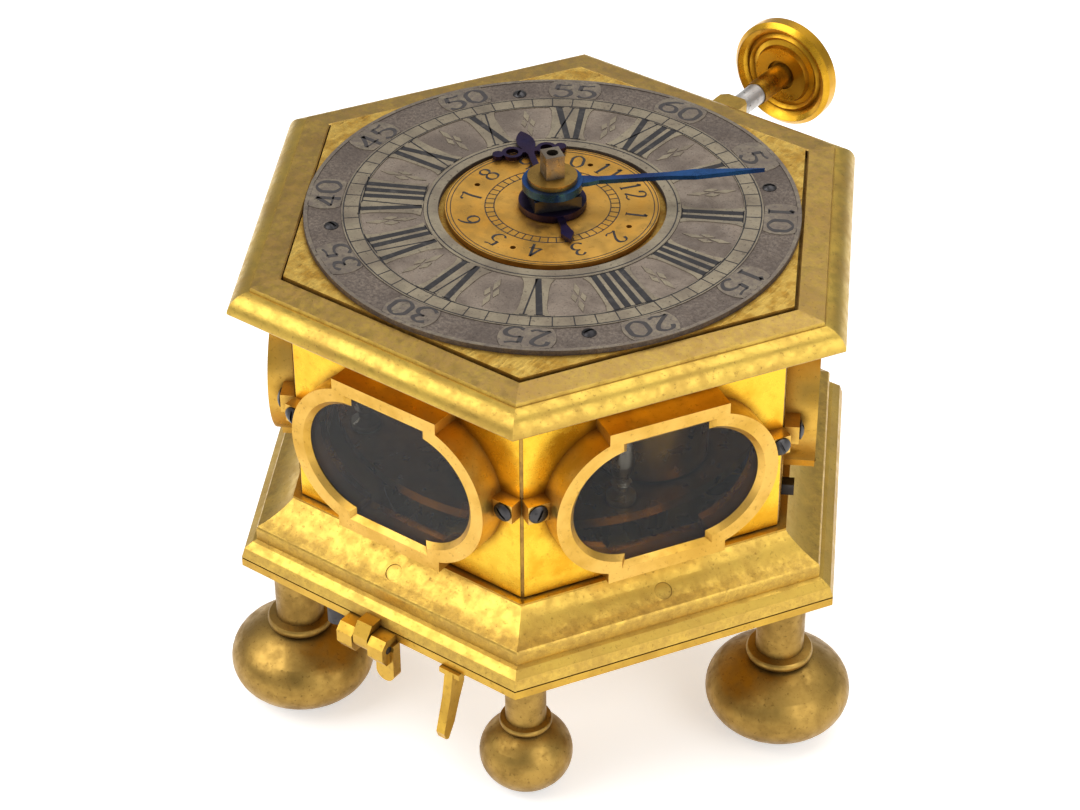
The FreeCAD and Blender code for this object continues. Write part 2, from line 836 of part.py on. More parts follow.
def make_hinge_pin():
    length = cell.tongue_width + 2 * cell.knuckle_gap + 2 * cell.ear_width
    start = (cell.hinge_x - length / 2, -cell.hinge_out, pin_height)
    node("hinge_pin", cylinder("hinge_rod", cell.hinge_pin_radius, length, start, ALONG_X))


def dome(radius, rise):
    """The radius of the ball whose cap has this radius and rise."""
    return (radius * radius + rise * rise) / (2 * rise)


def make_slotted_screw(name, radius, head, shank, length, crown=0.6):
    """A domed screw with its head upwards and its seat at z = 0. The crown is the dome's rise."""
    edge = head - crown
    screw = revolved(f"{name}_turned", [
        (0, -length), (shank, -length), (shank, 0), (radius, 0), (radius, edge, dome(radius, head - edge)),
        (0, head)])
    slot = box(f"{name}_slot", radius * 2 + 2, cell.screw_slot, head,
               (-radius - 1, -cell.screw_slot / 2, head - cell.screw_slot_depth))
    return screw, slot


def make_cover_screws():
    """A long-headed screw beside the hinge, and the flat one that the hook turns on."""
    flip = Rotation(Vector(1, 0, 0), 180)
    solids = []
    for name, x, out, seat, head in (
            ("plain", -cell.cover_screw_x, cell.cover_screw_out, cell.foot_height,
             cell.cover_screw_long_head),
            ("hook", cell.hook_x, cell.hook_out, cell.foot_height - cell.hook_thickness - cell.rest_gap,
             cell.cover_screw_head)):
        screw, slot = make_slotted_screw(f"cover_screw_{name}", cell.cover_screw_radius, head,
                                         cell.cover_screw_shank, cover_top - seat)
        solids.append(cut(f"cover_screw_cut_{name}", screw, [slot], (x, -out, seat), flip))
    node("cover_screws", group("cover_screws_set", solids))


def make_hook():
    """A hook that turns on its screw under the cover, with a curved blade that hangs at the front edge."""
    bottom = cell.foot_height - cell.rest_gap / 2 - cell.hook_thickness
    half = cell.hook_width / 2
    front = -cell.hook_reach
    toe = -cell.hook_toe
    drop = -cell.hook_drop
    plate = box("hook_plate", cell.hook_width, cell.hook_reach + half, cell.hook_thickness, (-half, front, 0))
    blade = padded("hook_blade_shape", "YZ_Plane", [
        (front, cell.hook_thickness), (front - 1, drop * 0.33), (toe, drop * 0.86), (toe * 0.95, drop * 0.97),
        (toe * 0.86, drop), (toe * 0.67, drop * 0.78), (front * 0.73, drop * 0.45), (front * 0.5, drop * 0.2),
        (front * 0.5, cell.hook_thickness)], cell.hook_blade, (-cell.hook_blade / 2, 0, 0))
    solid = fuse("hook_solid", [plate, blade])
    bore = cylinder("hook_bore", cell.cover_screw_shank + cell.running_gap, 10, (0, 0, -5))
    node("latch_hook", cut("hook_cut", solid, [bore], (cell.hook_x, -cell.hook_out, bottom)))


# The base moulding


def make_base():
    """The hollow base ring, and the hinge knuckle whose web is let into it."""
    wall = cell.base_wall
    top = cell.base_height
    points = [
        (cell.cover_out - cell.joint_groove, 0), (cell.cover_out - cell.joint_groove, cell.joint_gap),
        (cell.cover_out, cell.joint_gap), (cell.base_arris_out, top - cell.base_arris_drop),
        (cell.base_groove_out, top - cell.base_groove_drop), (cell.base_nose_out, top - cell.base_bead_drop),
        (cell.base_nose_out, top - cell.base_nose_drop - 0.4, cell.base_nose_radius),
        (cell.base_nose_out - 0.35, top - cell.base_nose_drop + 0.35, -cell.base_slope_radius),
        (cell.base_ledge_out, top - cell.base_ledge_height), (cell.base_ledge_out, top), (panel_inner, top),
        (panel_inner, top - wall), (cell.base_nose_out - wall, top - cell.base_nose_drop - wall * 0.4),
        (cell.cover_out - wall, top - cell.base_arris_drop), (cell.cover_out - wall, 0)]
    ring = hexagon_ring("base_ring", points, cell.cover_out, (0, 0, cover_top))
    start = cell.hinge_x - cell.tongue_width / 2
    knuckle = cylinder("tongue_knuckle", cell.knuckle_radius, cell.tongue_width,
                       (start, -cell.hinge_out, pin_height), ALONG_X)
    rise = cell.hinge_drop + cell.tongue_rise
    step = cell.hinge_drop + cell.joint_gap
    back = cell.hinge_out - cell.cover_out
    web = padded("tongue_web", "YZ_Plane", [
        (back + cell.base_wall / 2, rise), (0, rise), (-cell.knuckle_radius, cell.knuckle_radius),
        (-cell.knuckle_radius, 0), (cell.tongue_back, 0), (cell.tongue_back, step),
        (back + cell.base_wall / 2, step)], cell.tongue_width, (start, -cell.hinge_out, pin_height))
    bore = cylinder("tongue_bore", cell.hinge_pin_radius + cell.running_gap / 2, cell.tongue_width + 2,
                    (start - 1, -cell.hinge_out, pin_height), ALONG_X)
    tongue = fuse("tongue_solid", [knuckle, web])
    node("case_knuckle", cut("tongue_cut", tongue, [bore]))
    holes = [plug_rod(f"plug_hole_{index}", index, 1) for index in range(SIDES)]
    node("base_moulding", cut("base_cut", ring, [tongue] + holes))
    plugs = [plug_rod(f"plug_{index}", index, 0) for index in range(SIDES)]
    node("base_plugs", group("plugs_set", plugs))


def plug_rod(name, index, extra):
    """A round plug square to the slope of the base; extra lengthens it into a cutter."""
    length = cell.plug_length + extra * 2
    slant = math.radians(SIZES["plug_slant"])
    away = cell.plug_out - cell.plug_length * math.sin(slant) - extra * math.sin(slant)
    height = base_top - cell.plug_drop - cell.plug_length * math.cos(slant) - extra * math.cos(slant)
    tilt = Rotation(Vector(0, 1, 0), SIZES["plug_slant"])
    spot = polar(away, side_angle(index)) + (height,)
    return cylinder(name, cell.plug_radius, length, spot, turned(side_angle(index)).multiply(tilt))


# The six sides


def window_outline(inset):
    """A long round window with a square lobe above and below, drawn inside the frame's edge."""
    radius = cell.frame_end_radius - inset
    lobe = cell.frame_lobe_half - inset
    high = cell.frame_half_height - inset
    past = lobe - cell.frame_end_centre
    shoulder = root(radius * radius - past * past)
    return [(lobe, high), (-lobe, high), (-lobe, shoulder, radius), (-lobe, -shoulder), (-lobe, -high),
            (lobe, -high), (lobe, -shoulder, radius), (lobe, shoulder)]


def frame_opening(name):
    """The daylight of a window frame: a sloping lip in front of the pane, and the pocket behind it."""
    sections = []
    for end, rim, away in (("back", cell.frame_lip_rim, pane_front),
                           ("front", cell.frame_front_rim, frame_front)):
        sketch = doc.addObject("Sketcher::SketchObject", f"{name}_{end}")
        outline(sketch, window_outline(rim))
        place(sketch, (away, 0, window_height), Rotation(Vector(1, 1, 1), 120))
        sections.append(sketch)
    lip = doc.addObject("Part::Loft", name)
    lip.Sections = sections
    lip.Solid = True
    lip.Ruled = True
    pocket = padded(f"{name}_pocket", "YZ_Plane", window_outline(cell.pane_rim), pane_front - cell.panel_out,
                    (cell.panel_out, 0, window_height))
    return [lip, pocket]


def make_window_frame(index, name):
    back = (cell.panel_out, 0, window_height)
    plate = padded(f"frame_plate_{index}", "YZ_Plane", window_outline(0), cell.frame_depth, back)
    lugs = []
    bores = frame_opening(f"frame_opening_{index}")
    half = cell.frame_lug_half
    for side in (-1, 1):
        length = half * 3
        start = -cell.lug_reach - half if side < 0 else cell.lug_reach + half - length
        corner = (cell.panel_out, start, window_height + cell.lug_rise - half)
        lugs.append(box(f"frame_lug_{index}_{side + 1}", cell.frame_lug_depth, length, half * 2, corner))
        spot = (cell.panel_out, side * cell.lug_reach, window_height + cell.lug_rise)
        bores.append(cylinder(f"frame_bore_{index}_{side + 1}", cell.lug_screw_shank, 20, spot, ALONG_X))
    solid = fuse(f"frame_solid_{index}", [plate] + lugs)
    node(name, cut(f"frame_cut_{index}", solid, bores, rotation=turned(side_angle(index))))


def make_panel(index, name):
    half = cell.panel_out * TAN_30 - cell.panel_mitre_gap
    inner_half = half - cell.panel_thickness * TAN_30
    plate = padded(f"panel_plate_{index}", "XY_Plane", [
        (panel_inner, -inner_half), (cell.panel_out, -half), (cell.panel_out, half),
        (panel_inner, inner_half)],
        panel_length, (0, 0, panel_bottom))
    daylight = padded(f"panel_daylight_{index}", "YZ_Plane", window_outline(cell.pane_rim),
                      cell.panel_thickness + 2,
                      (panel_inner - 1, 0, window_height))
    cutters = [daylight]
    for side in (-1, 1):
        spot = (panel_inner - 1, side * cell.lug_reach, window_height + cell.lug_rise)
        cutters.append(cylinder(f"panel_bore_{index}_{side + 1}", cell.lug_screw_shank, 5, spot, ALONG_X))
    if name.endswith("_rear"):
        spot = (panel_inner - 1, 0, plunger_height)
        cutters.append(cylinder("panel_plunger_bore", cell.plunger_radius + 0.3, 5, spot, ALONG_X))
    if name.endswith("_rear_right"):
        slot_at = (panel_inner - 1, cell.silent_slide - cell.silent_slot / 2, silent_height - cell.rest_gap)
        cutters.append(box("panel_lever_slot", 5, cell.silent_slot,
                           cell.silent_thickness + 2 * cell.rest_gap, slot_at))
    node(name, cut(f"panel_cut_{index}", plate, cutters, rotation=turned(side_angle(index))))


def make_sides():
    panes = []
    posts = []
    screws = []
    for index, side_name in enumerate(SIDE_NAMES):
        make_panel(index, f"panel_{side_name}")
        make_window_frame(index, f"window_frame_{side_name}")
        pane = padded(f"pane_{index}", "YZ_Plane", window_outline(cell.pane_rim + cell.pane_gap),
                      cell.pane_thickness,
                      (pane_front - cell.pane_thickness, 0, window_height))
        panes.append(placed(f"pane_placed_{index}", pane, rotation=turned(side_angle(index))))
        screws += make_frame_screws(index)
        posts.append(make_post(index))
    node("window_panes", group("panes_set", panes))
    node("corner_posts", group("posts_set", posts))
    node("frame_screws", group("frame_screws_set", screws))


def make_frame_screws(index):
    screws = []
    for side in (-1, 1):
        name = f"frame_screw_{index}_{side + 1}"
        length = cell.frame_lug_depth + cell.panel_thickness
        screw, slot = make_slotted_screw(name, cell.lug_screw_radius, cell.lug_screw_head,
                                         cell.lug_screw_shank, length)
        single = cut(f"{name}_cut", screw, [slot], rotation=turned(25 * side + 40 * index))
        seat = (cell.panel_out + cell.frame_lug_depth, side * cell.lug_reach, window_height + cell.lug_rise)
        faced = placed(f"{name}_faced", single, seat, ALONG_X)
        screws.append(placed(f"{name}_placed", faced, rotation=turned(side_angle(index))))
    return screws


def make_post(index):
    """A post behind one corner, with the rib that shows between two panels."""
    corner = panel_inner / COS_30
    reach = corner - cell.post_radius / COS_30 * 1.01
    length = moulding_height - base_top
    rod = cylinder(f"post_rod_{index}", cell.post_radius, length, (reach, 0, base_top))
    rib_end = cell.panel_out / COS_30 - cell.post_rib_setback
    rib = box(f"post_rib_{index}", rib_end - reach, cell.post_rib_width, length,
              (reach, -cell.post_rib_width / 2, base_top))
    return fuse(f"post_{index}", [rod, rib], rotation=turned(60 * index))


# The top


def make_top_moulding():
    outer = cell.moulding_out
    shoulder = cell.moulding_shoulder_out
    points = [
        (cell.moulding_inner_out, 0), (outer - cell.moulding_fillet, 0, cell.moulding_fillet),
        (outer, cell.moulding_fillet, cell.moulding_shoulder_rise * 1.02),
        (shoulder, cell.moulding_shoulder_rise),
        (cell.moulding_step_out, cell.moulding_shoulder_rise),
        (cell.moulding_step_out - 0.2, cell.moulding_step_rise),
        (cell.recess_out + 0.3, cell.moulding_top_rise), (cell.recess_out, cell.moulding_top_rise - 0.2),
        (cell.recess_out, cell.dial_plate_rise - cell.dial_plate_thickness),
        (cell.moulding_inner_out, cell.dial_plate_rise - cell.dial_plate_thickness)]
    node("top_moulding", hexagon_ring("top_ring", points, outer, (0, 0, moulding_height)))


def make_dial():
    reach = (cell.recess_out - cell.plate_gap) / COS_30
    plate = prism("dial_sheet", SIDES, reach, cell.dial_plate_thickness, (0, 0, dial_bottom))
    bore = cylinder("dial_bore", cell.alarm_pipe_radius + cell.running_gap, 10, (0, 0, dial_bottom - 5))
    holes = [bore]
    ring = cylinder("ring_disc", cell.ring_radius, cell.ring_thickness, (0, 0, dial_top))
    ring_holes = [cylinder("ring_daylight", cell.ring_inner_radius, 10, (0, 0, dial_top - 5))]
    screws = []
    for quarter in range(4):
        angle = 45 + 90 * quarter
        spot = polar(cell.ring_screw_reach, angle)
        holes.append(cylinder(f"dial_tap_{quarter}", cell.ring_screw_shank, 10, spot + (dial_bottom - 5,)))
        ring_holes.append(cylinder(f"ring_tap_{quarter}", cell.ring_screw_shank, 10, spot + (dial_top - 5,)))
        length = cell.ring_thickness + cell.dial_plate_thickness
        screw, slot = make_slotted_screw(
            f"ring_screw_{quarter}", cell.ring_screw_radius, cell.ring_screw_head, cell.ring_screw_shank,
            length)
        screws.append(cut(f"ring_screw_cut_{quarter}", screw, [slot], spot + (ring_top,),
                          turned(35 + 70 * quarter)))
    node("dial_plate", cut("dial_cut", plate, holes))
    node("chapter_ring", cut("ring_cut", ring, ring_holes))
    node("ring_screws", group("ring_screws_set", screws))


def make_alarm_disc():
    disc = cylinder("alarm_sheet", cell.alarm_radius, cell.alarm_thickness, (0, 0, alarm_bottom))
    pipe_bottom = dial_bottom - 2
    pipe = cylinder("alarm_pipe", cell.alarm_pipe_radius, alarm_top - pipe_bottom, (0, 0, pipe_bottom))
    holes = [cylinder("alarm_bore", cell.hour_pipe_radius + cell.running_gap, 30, (0, 0, pipe_bottom - 5))]
    for quarter in range(4):
        spot = polar(cell.alarm_hole_reach, 45 + 90 * quarter) + (alarm_bottom - 5,)
        holes.append(cylinder(f"alarm_hole_{quarter}", cell.alarm_hole_radius, 20, spot))
    node("alarm_disc", cut("alarm_cut", fuse("alarm_solid", [disc, pipe]), holes,
                           rotation=turned(cell.alarm_angle - 90)))


def make_hour_hand():
    disc = cylinder("hour_disc", cell.hour_disc_radius, cell.hour_disc_thickness, (0, 0, hour_disc_bottom))
    low = hour_disc_bottom + 0.2
    along = cell.hour_ring_along
    half = cell.hour_blade_half
    thick = cell.hour_blade_thickness
    leaf = padded("hour_leaf", "XY_Plane", [
        (0, -half * 0.6), (along - 2, -half * 0.5), (along, -half, along * 0.3),
        (cell.hour_tip, 0, along * 0.3),
        (along, half), (along - 2, half * 0.5), (0, half * 0.6)], thick, (0, 0, low))
    tail = padded("hour_tail_leaf", "XY_Plane", [
        (0, half * 0.6), (-cell.hour_tail + 5, half * 0.5), (-cell.hour_tail + 2.5, half),
        (-cell.hour_tail, 0),
        (-cell.hour_tail + 2.5, -half), (-cell.hour_tail + 5, -half * 0.5), (0, -half * 0.6)], thick,
        (0, 0, low))
    pieces = [disc, leaf, tail]
    for side in (-1, 1):
        spot = (along - 0.6, side * cell.hour_ring_across, low)
        outer = cylinder(f"hour_ring_{side + 1}", cell.hour_ring_radius, thick, spot)
        inner = cylinder(f"hour_eye_{side + 1}", cell.hour_ring_radius - cell.hour_ring_band, thick, spot)
        bud_out = cell.hour_ring_across + cell.hour_ring_radius + cell.hour_bud_radius - 0.3
        bud = cylinder(f"hour_bud_{side + 1}", cell.hour_bud_radius, thick,
                       (along - 0.6, side * bud_out, low))
        pieces += [cut(f"hour_loop_{side + 1}", outer, [inner]), bud]
    bar = box("hour_bar", 1.2, cell.hour_ring_across * 2 - cell.hour_ring_radius * 1.4, thick,
              (along - 1.2, -cell.hour_ring_across + cell.hour_ring_radius * 0.7, low))
    solid = fuse("hour_solid", pieces + [bar])
    bore = cylinder("hour_bore", cell.hour_pipe_radius, 20, (0, 0, hour_disc_bottom - 5))
    node("hour_hand", cut("hour_cut", solid, [bore], rotation=turned(cell.hour_angle)))
    square = box("block_square", cell.block_side, cell.block_side, cell.block_thickness,
                 (-cell.block_side / 2, -cell.block_side / 2, block_bottom))
    block_bore = cylinder("block_bore", cell.hour_pipe_radius, 20, (0, 0, block_bottom - 5))
    node("hour_block", cut("block_cut", square, [block_bore], rotation=turned(cell.hour_angle)))


def make_minute_hand():
    disc = cylinder("minute_disc", cell.minute_disc_radius, cell.minute_disc_thickness,
                    (0, 0, minute_disc_bottom))
    low = minute_disc_bottom + 0.3
    widest = cell.minute_widest
    half = cell.minute_half
    stem = cell.minute_stem_half
    blade = padded("minute_blade", "XY_Plane", [
        (0, -half * 1.6), (cell.minute_disc_radius + 1, -half), (cell.minute_disc_radius + 3, -stem),
        (widest - 5, -stem), (widest, -half), (cell.minute_tip, 0), (widest, half), (widest - 5, stem),
        (cell.minute_disc_radius + 3, stem), (cell.minute_disc_radius + 1, half), (0, half * 1.6)],
        cell.minute_blade_thickness, (0, 0, low))
    solid = fuse("minute_solid", [disc, blade])
    bore = cylinder("minute_bore", cell.minute_pipe_radius, 20, (0, 0, minute_disc_bottom - 5))
    node("minute_hand", cut("minute_cut", solid, [bore], rotation=turned(cell.minute_angle)))
    collet = cylinder("collet_disc", cell.collet_radius, cell.collet_thickness, (0, 0, collet_bottom))
    collet_bore = cylinder("collet_bore", cell.arbor_radius, 20, (0, 0, collet_bottom - 5))
    node("hand_collet", cut("collet_cut", collet, [collet_bore]))


# The movement

cannon_phase = 0.0
motion_phase = meshed_phase(cannon_phase, CANNON_TEETH, SIZES["motion_angle"], MINUTE_WHEEL_TEETH)
motion_pinion_phase = 0.0
hour_phase = meshed_phase(motion_pinion_phase, MINUTE_PINION_TEETH, SIZES["motion_angle"] + 180,
                          HOUR_WHEEL_TEETH)
great_phase = meshed_phase(0.0, CENTRE_PINION_TEETH, SIZES["fusee_angle"], GREAT_TEETH)
third_phase = meshed_phase(0.0, CENTRE_TEETH, SIZES["third_angle"], THIRD_PINION_TEETH)
contrate_phase = meshed_phase(0.0, THIRD_TEETH, SIZES["contrate_angle"], CONTRATE_PINION_TEETH)
pin_phase = meshed_phase(0.0, STRIKE_TEETH, SIZES["pin_wheel_angle"], PIN_PINION_TEETH)
fly_phase = meshed_phase(0.0, PIN_WHEEL_TEETH, SIZES["fly_angle"], FLY_PINION_TEETH)


def make_motion_work():
    """The cannon pinion, the minute wheel and the hour wheel under the dial."""
    thick = cell.motion_thickness
    cannon = toothed_wheel("cannon_teeth", CANNON_TEETH, cell.minute_module, thick + 1, (0, 0, cannon_height),
                           cannon_phase)
    pipe = cylinder("cannon_pipe", cell.minute_pipe_radius, collet_bottom - cannon_height,
                    (0, 0, cannon_height))
    bore = cylinder("cannon_bore", cell.arbor_radius, 60, (0, 0, cannon_height - 5))
    node("cannon_pinion", cut("cannon_cut", fuse("cannon_solid", [cannon, pipe]), [bore]))

    wheel = toothed_wheel("minute_wheel_teeth", MINUTE_WHEEL_TEETH, cell.minute_module, thick,
                          (0, 0, cannon_height + 0.5), motion_phase)
    pinion = toothed_wheel("minute_pinion_teeth", MINUTE_PINION_TEETH, cell.hour_module,
                           hour_wheel_height + thick + 0.5 - cannon_height - 0.5,
                           (0, 0, cannon_height + 0.5), motion_pinion_phase)
    stud_bore = cylinder("minute_wheel_bore", cell.pivot_radius + cell.running_gap, 60,
                         (0, 0, cannon_height - 5))
    solid = fuse("minute_wheel_solid", [wheel, pinion])
    node("minute_wheel", cut("minute_wheel_cut", solid, [stud_bore], motion_at + (0,)))

    hour = toothed_wheel("hour_teeth", HOUR_WHEEL_TEETH, cell.hour_module, thick, (0, 0, hour_wheel_height),
                         hour_phase)
    hour_pipe = cylinder("hour_pipe", cell.hour_pipe_radius,
                         block_bottom + cell.block_thickness - hour_wheel_height, (0, 0, hour_wheel_height))
    hour_bore = cylinder("hour_wheel_bore", cell.minute_pipe_radius + cell.running_gap, 60,
                         (0, 0, hour_wheel_height - 5))
    node("hour_wheel", cut("hour_wheel_cut", fuse("hour_wheel_solid", [hour, hour_pipe]), [hour_bore]))


def crossings(name, outer, inner, thickness, height):
    """Five round openings that lighten a wheel."""
    middle = (outer + inner) / 2
    radius = (outer - inner) / 2
    return [cylinder(f"{name}_{k}", radius, thickness + 2, polar(middle, 36 + 72 * k) + (height - 1,))
            for k in range(5)]


def make_centre():
    """The centre arbor with its pinion and hollow square, and the centre wheel."""
    bottom = lower_plate_height
    rod = cylinder("centre_rod", cell.arbor_radius, collet_top - lower_plate_top - 0.5,
                   (0, 0, lower_plate_top + 0.5))
    pivot = cylinder("centre_pivot", cell.pivot_radius, cell.plate_thickness + 1, (0, 0, bottom))
    pinion = toothed_wheel("centre_pinion_teeth", CENTRE_PINION_TEETH, cell.great_module,
                           cell.great_thickness + 1, (0, 0, great_height - 0.5), 0.0)
    half = cell.arbor_square / 2
    square = box("arbor_square_top", cell.arbor_square, cell.arbor_square, arbor_top - collet_top,
                 (-half, -half, 0))
    turned_square = placed("arbor_square_turned", square, (0, 0, collet_top), turned(cell.arbor_square_angle))
    bore = cylinder("arbor_top_bore", cell.arbor_bore, 10, (0, 0, arbor_top - cell.arbor_bore_depth))
    solid = fuse("centre_solid", [rod, pivot, pinion, turned_square])
    node("centre_arbor", cut("centre_cut", solid, [bore]))
    wheel = toothed_wheel("centre_teeth", CENTRE_TEETH, cell.centre_module, cell.wheel_thickness,
                          (0, 0, centre_wheel_height), 0.0)
    holes = [cylinder("centre_wheel_bore", cell.arbor_radius, 10, (0, 0, centre_wheel_height - 5))]
    rim = pitch_radius(cell.centre_module, CENTRE_TEETH)
    holes += crossings("centre_crossing", rim - 2, cell.arbor_radius + 2, cell.wheel_thickness,
                       centre_wheel_height)
    node("centre_wheel", cut("centre_wheel_cut", wheel, holes))


def arbor(name, radius, low, high):
    """An arbor with its two pivots, in the frame of its own axis."""
    rod = cylinder(f"{name}_rod", radius, high - low, (0, 0, low))
    pivots = cylinder(f"{name}_pivots", cell.pivot_radius, arbor_length, (0, 0, lower_plate_height))
    return [rod, pivots]


def key_end(name):
    """The square that takes the winding key, with a round neck through the plate."""
    half = cell.key_square / 2
    neck_top = lower_plate_top + 0.3
    square = box(f"{name}_square", cell.key_square, cell.key_square,
                 lower_plate_height - cell.rest_gap - key_square_end, (-half, -half, key_square_end))
    neck = cylinder(f"{name}_neck", cell.key_square / 2, neck_top - key_square_end, (0, 0, key_square_end))
    return [square, neck]


def make_going_train():
    near = lower_plate_top + 0.3
    far = upper_plate_height - 0.3
    great = toothed_wheel("great_teeth", GREAT_TEETH, cell.great_module, cell.great_thickness,
                          (0, 0, great_height), great_phase)
    groove_count = 6
    step = cell.fusee_length / groove_count
    fall = (cell.fusee_radius - cell.fusee_top_radius) / groove_count
    start = great_height + cell.great_thickness
    points = [(0, start), (cell.fusee_radius, start)]
    for k in range(groove_count):
        points.append((cell.fusee_radius - fall * (k + 0.5) - 0.5, start + step * (k + 0.5)))
        points.append((cell.fusee_radius - fall * (k + 1), start + step * (k + 1)))
    points.append((0, start + cell.fusee_length))
    fusee_cone = revolved("fusee_cone", points)
    pieces = [great, fusee_cone] + arbor("fusee", cell.pivot_radius + 0.6, near, far) + key_end("fusee")
    node("fusee", fuse("fusee_solid", pieces, fusee_at + (0,)))

    third = toothed_wheel("third_teeth", THIRD_TEETH, cell.third_module, cell.wheel_thickness,
                          (0, 0, third_height), 0.0)
    third_pinion = toothed_wheel("third_pinion_teeth", THIRD_PINION_TEETH, cell.centre_module,
                                 cell.wheel_thickness + 1, (0, 0, centre_wheel_height - 0.5), third_phase)
    pieces = [third, third_pinion] + arbor("third", cell.pivot_radius + 0.3, near, far)
    node("third_wheel", fuse("third_solid", pieces, third_at + (0,)))

    disc = cylinder("contrate_disc", cell.contrate_radius + cell.contrate_band / 2, cell.wheel_thickness,
                    (0, 0, contrate_height))
    teeth = face_teeth("contrate_teeth", CONTRATE_TEETH, cell.contrate_radius, cell.contrate_band,
                       cell.contrate_teeth_height, 0, (0, 0, contrate_height + cell.wheel_thickness),
                       SIZES["crown_angle"])
    pinion = toothed_wheel("contrate_pinion_teeth", CONTRATE_PINION_TEETH, cell.third_module,
                           cell.wheel_thickness + 1, (0, 0, third_height - 0.5), contrate_phase)
    pieces = [disc, teeth, pinion] + arbor("contrate", cell.pivot_radius + 0.1, near, far)
    node("contrate_wheel", fuse("contrate_solid", pieces, contrate_at + (0,)))

    along = Rotation(Vector(0, 0, 1), SIZES["crown_angle"]).multiply(ALONG_X)
    leaf = toothed_wheel("crown_pinion_teeth", CROWN_PINION_TEETH, crown_module, cell.contrate_band + 0.4,
                         (0, 0, cell.contrate_radius - cell.contrate_band / 2 - 0.2),
                         180 / CROWN_PINION_TEETH)
    rod = cylinder("crown_rod", cell.pivot_radius, cell.crown_near - cell.contrate_radius + 1.5,
                   (0, 0, cell.contrate_radius - 1))
    crown_disc = cylinder("crown_sheet", cell.crown_radius, cell.crown_disc, (0, 0, cell.crown_near))
    crown_teeth = face_teeth("crown_teeth", CROWN_TEETH, cell.crown_radius - 0.5, 1 * cell.crown_disc,
                             cell.crown_teeth_height, 0.3, (0, 0, cell.crown_near + cell.crown_disc), 0)
    pieces = [leaf, rod, crown_disc, crown_teeth]
    node("crown_wheel", fuse("crown_solid", pieces, contrate_at + (crown_axis,), along))


def make_barrels():
    near = lower_plate_top + 0.3
    far = upper_plate_height - 0.3
    drum = revolved("barrel_drum", [
        (0, 0), (cell.barrel_radius, 0), (cell.barrel_radius, cell.barrel_length), (0, cell.barrel_length)],
        (0, 0, barrel_height))
    pieces = [drum] + arbor("barrel", cell.pivot_radius + 0.6, near, far) + key_end("barrel")
    node("going_barrel", fuse("barrel_solid", pieces, barrel_at + (0,)))

    strike_drum = cylinder("strike_drum", cell.strike_radius, cell.strike_barrel_length,
                           (0, 0, strike_barrel_height))
    hub = cylinder("strike_hub", cell.strike_radius * 0.5,
                   strike_wheel_height - strike_barrel_height, (0, 0, strike_barrel_height))
    wheel = toothed_wheel("strike_teeth", STRIKE_TEETH, cell.strike_module, cell.strike_wheel_thickness,
                          (0, 0, strike_wheel_height), 0.0)
    pieces = [strike_drum, hub, wheel] + arbor("strike", cell.pivot_radius + 0.6, near,
                                               far) + key_end("strike")
    node("strike_barrel", fuse("strike_solid", pieces, strike_at + (0,)))


def make_striking():
    near = lower_plate_top + 0.3
    far = upper_plate_height - 0.3
    wheel = toothed_wheel("pin_wheel_teeth", PIN_WHEEL_TEETH, cell.pin_wheel_module, cell.wheel_thickness,
                          (0, 0, pin_wheel_height), 0.0)
    pinion = toothed_wheel("pin_pinion_teeth", PIN_PINION_TEETH, cell.strike_module,
                           pin_wheel_height - strike_wheel_height + 0.2,
                           (0, 0, strike_wheel_height - 0.2), pin_phase)
    pins = [cylinder(f"lifting_pin_{k}", 0.35, cell.pin_length + cell.wheel_thickness,
                     polar(cell.pin_reach, 45 * k) + (pin_wheel_height - cell.pin_length,))
            for k in range(PIN_COUNT)]
    pieces = [wheel, pinion] + pins + arbor("pin", cell.pivot_radius + 0.1, near, far)
    node("pin_wheel", fuse("pin_wheel_solid", pieces, pin_wheel_at + (0,)))

    leaves = toothed_wheel("fly_pinion_teeth", FLY_PINION_TEETH, cell.pin_wheel_module,
                           cell.wheel_thickness + 0.6,
                           (0, 0, pin_wheel_height - 0.3), fly_phase)
    vane = box("fly_vane", cell.fly_half * 2, cell.fly_thickness, cell.fly_length,
               (-cell.fly_half, -cell.fly_thickness / 2, fly_height))
    node("fly", fuse("fly_solid", [leaves, vane] + arbor("fly", cell.pivot_radius + 0.1, near, far),
                     fly_at + (0,)))


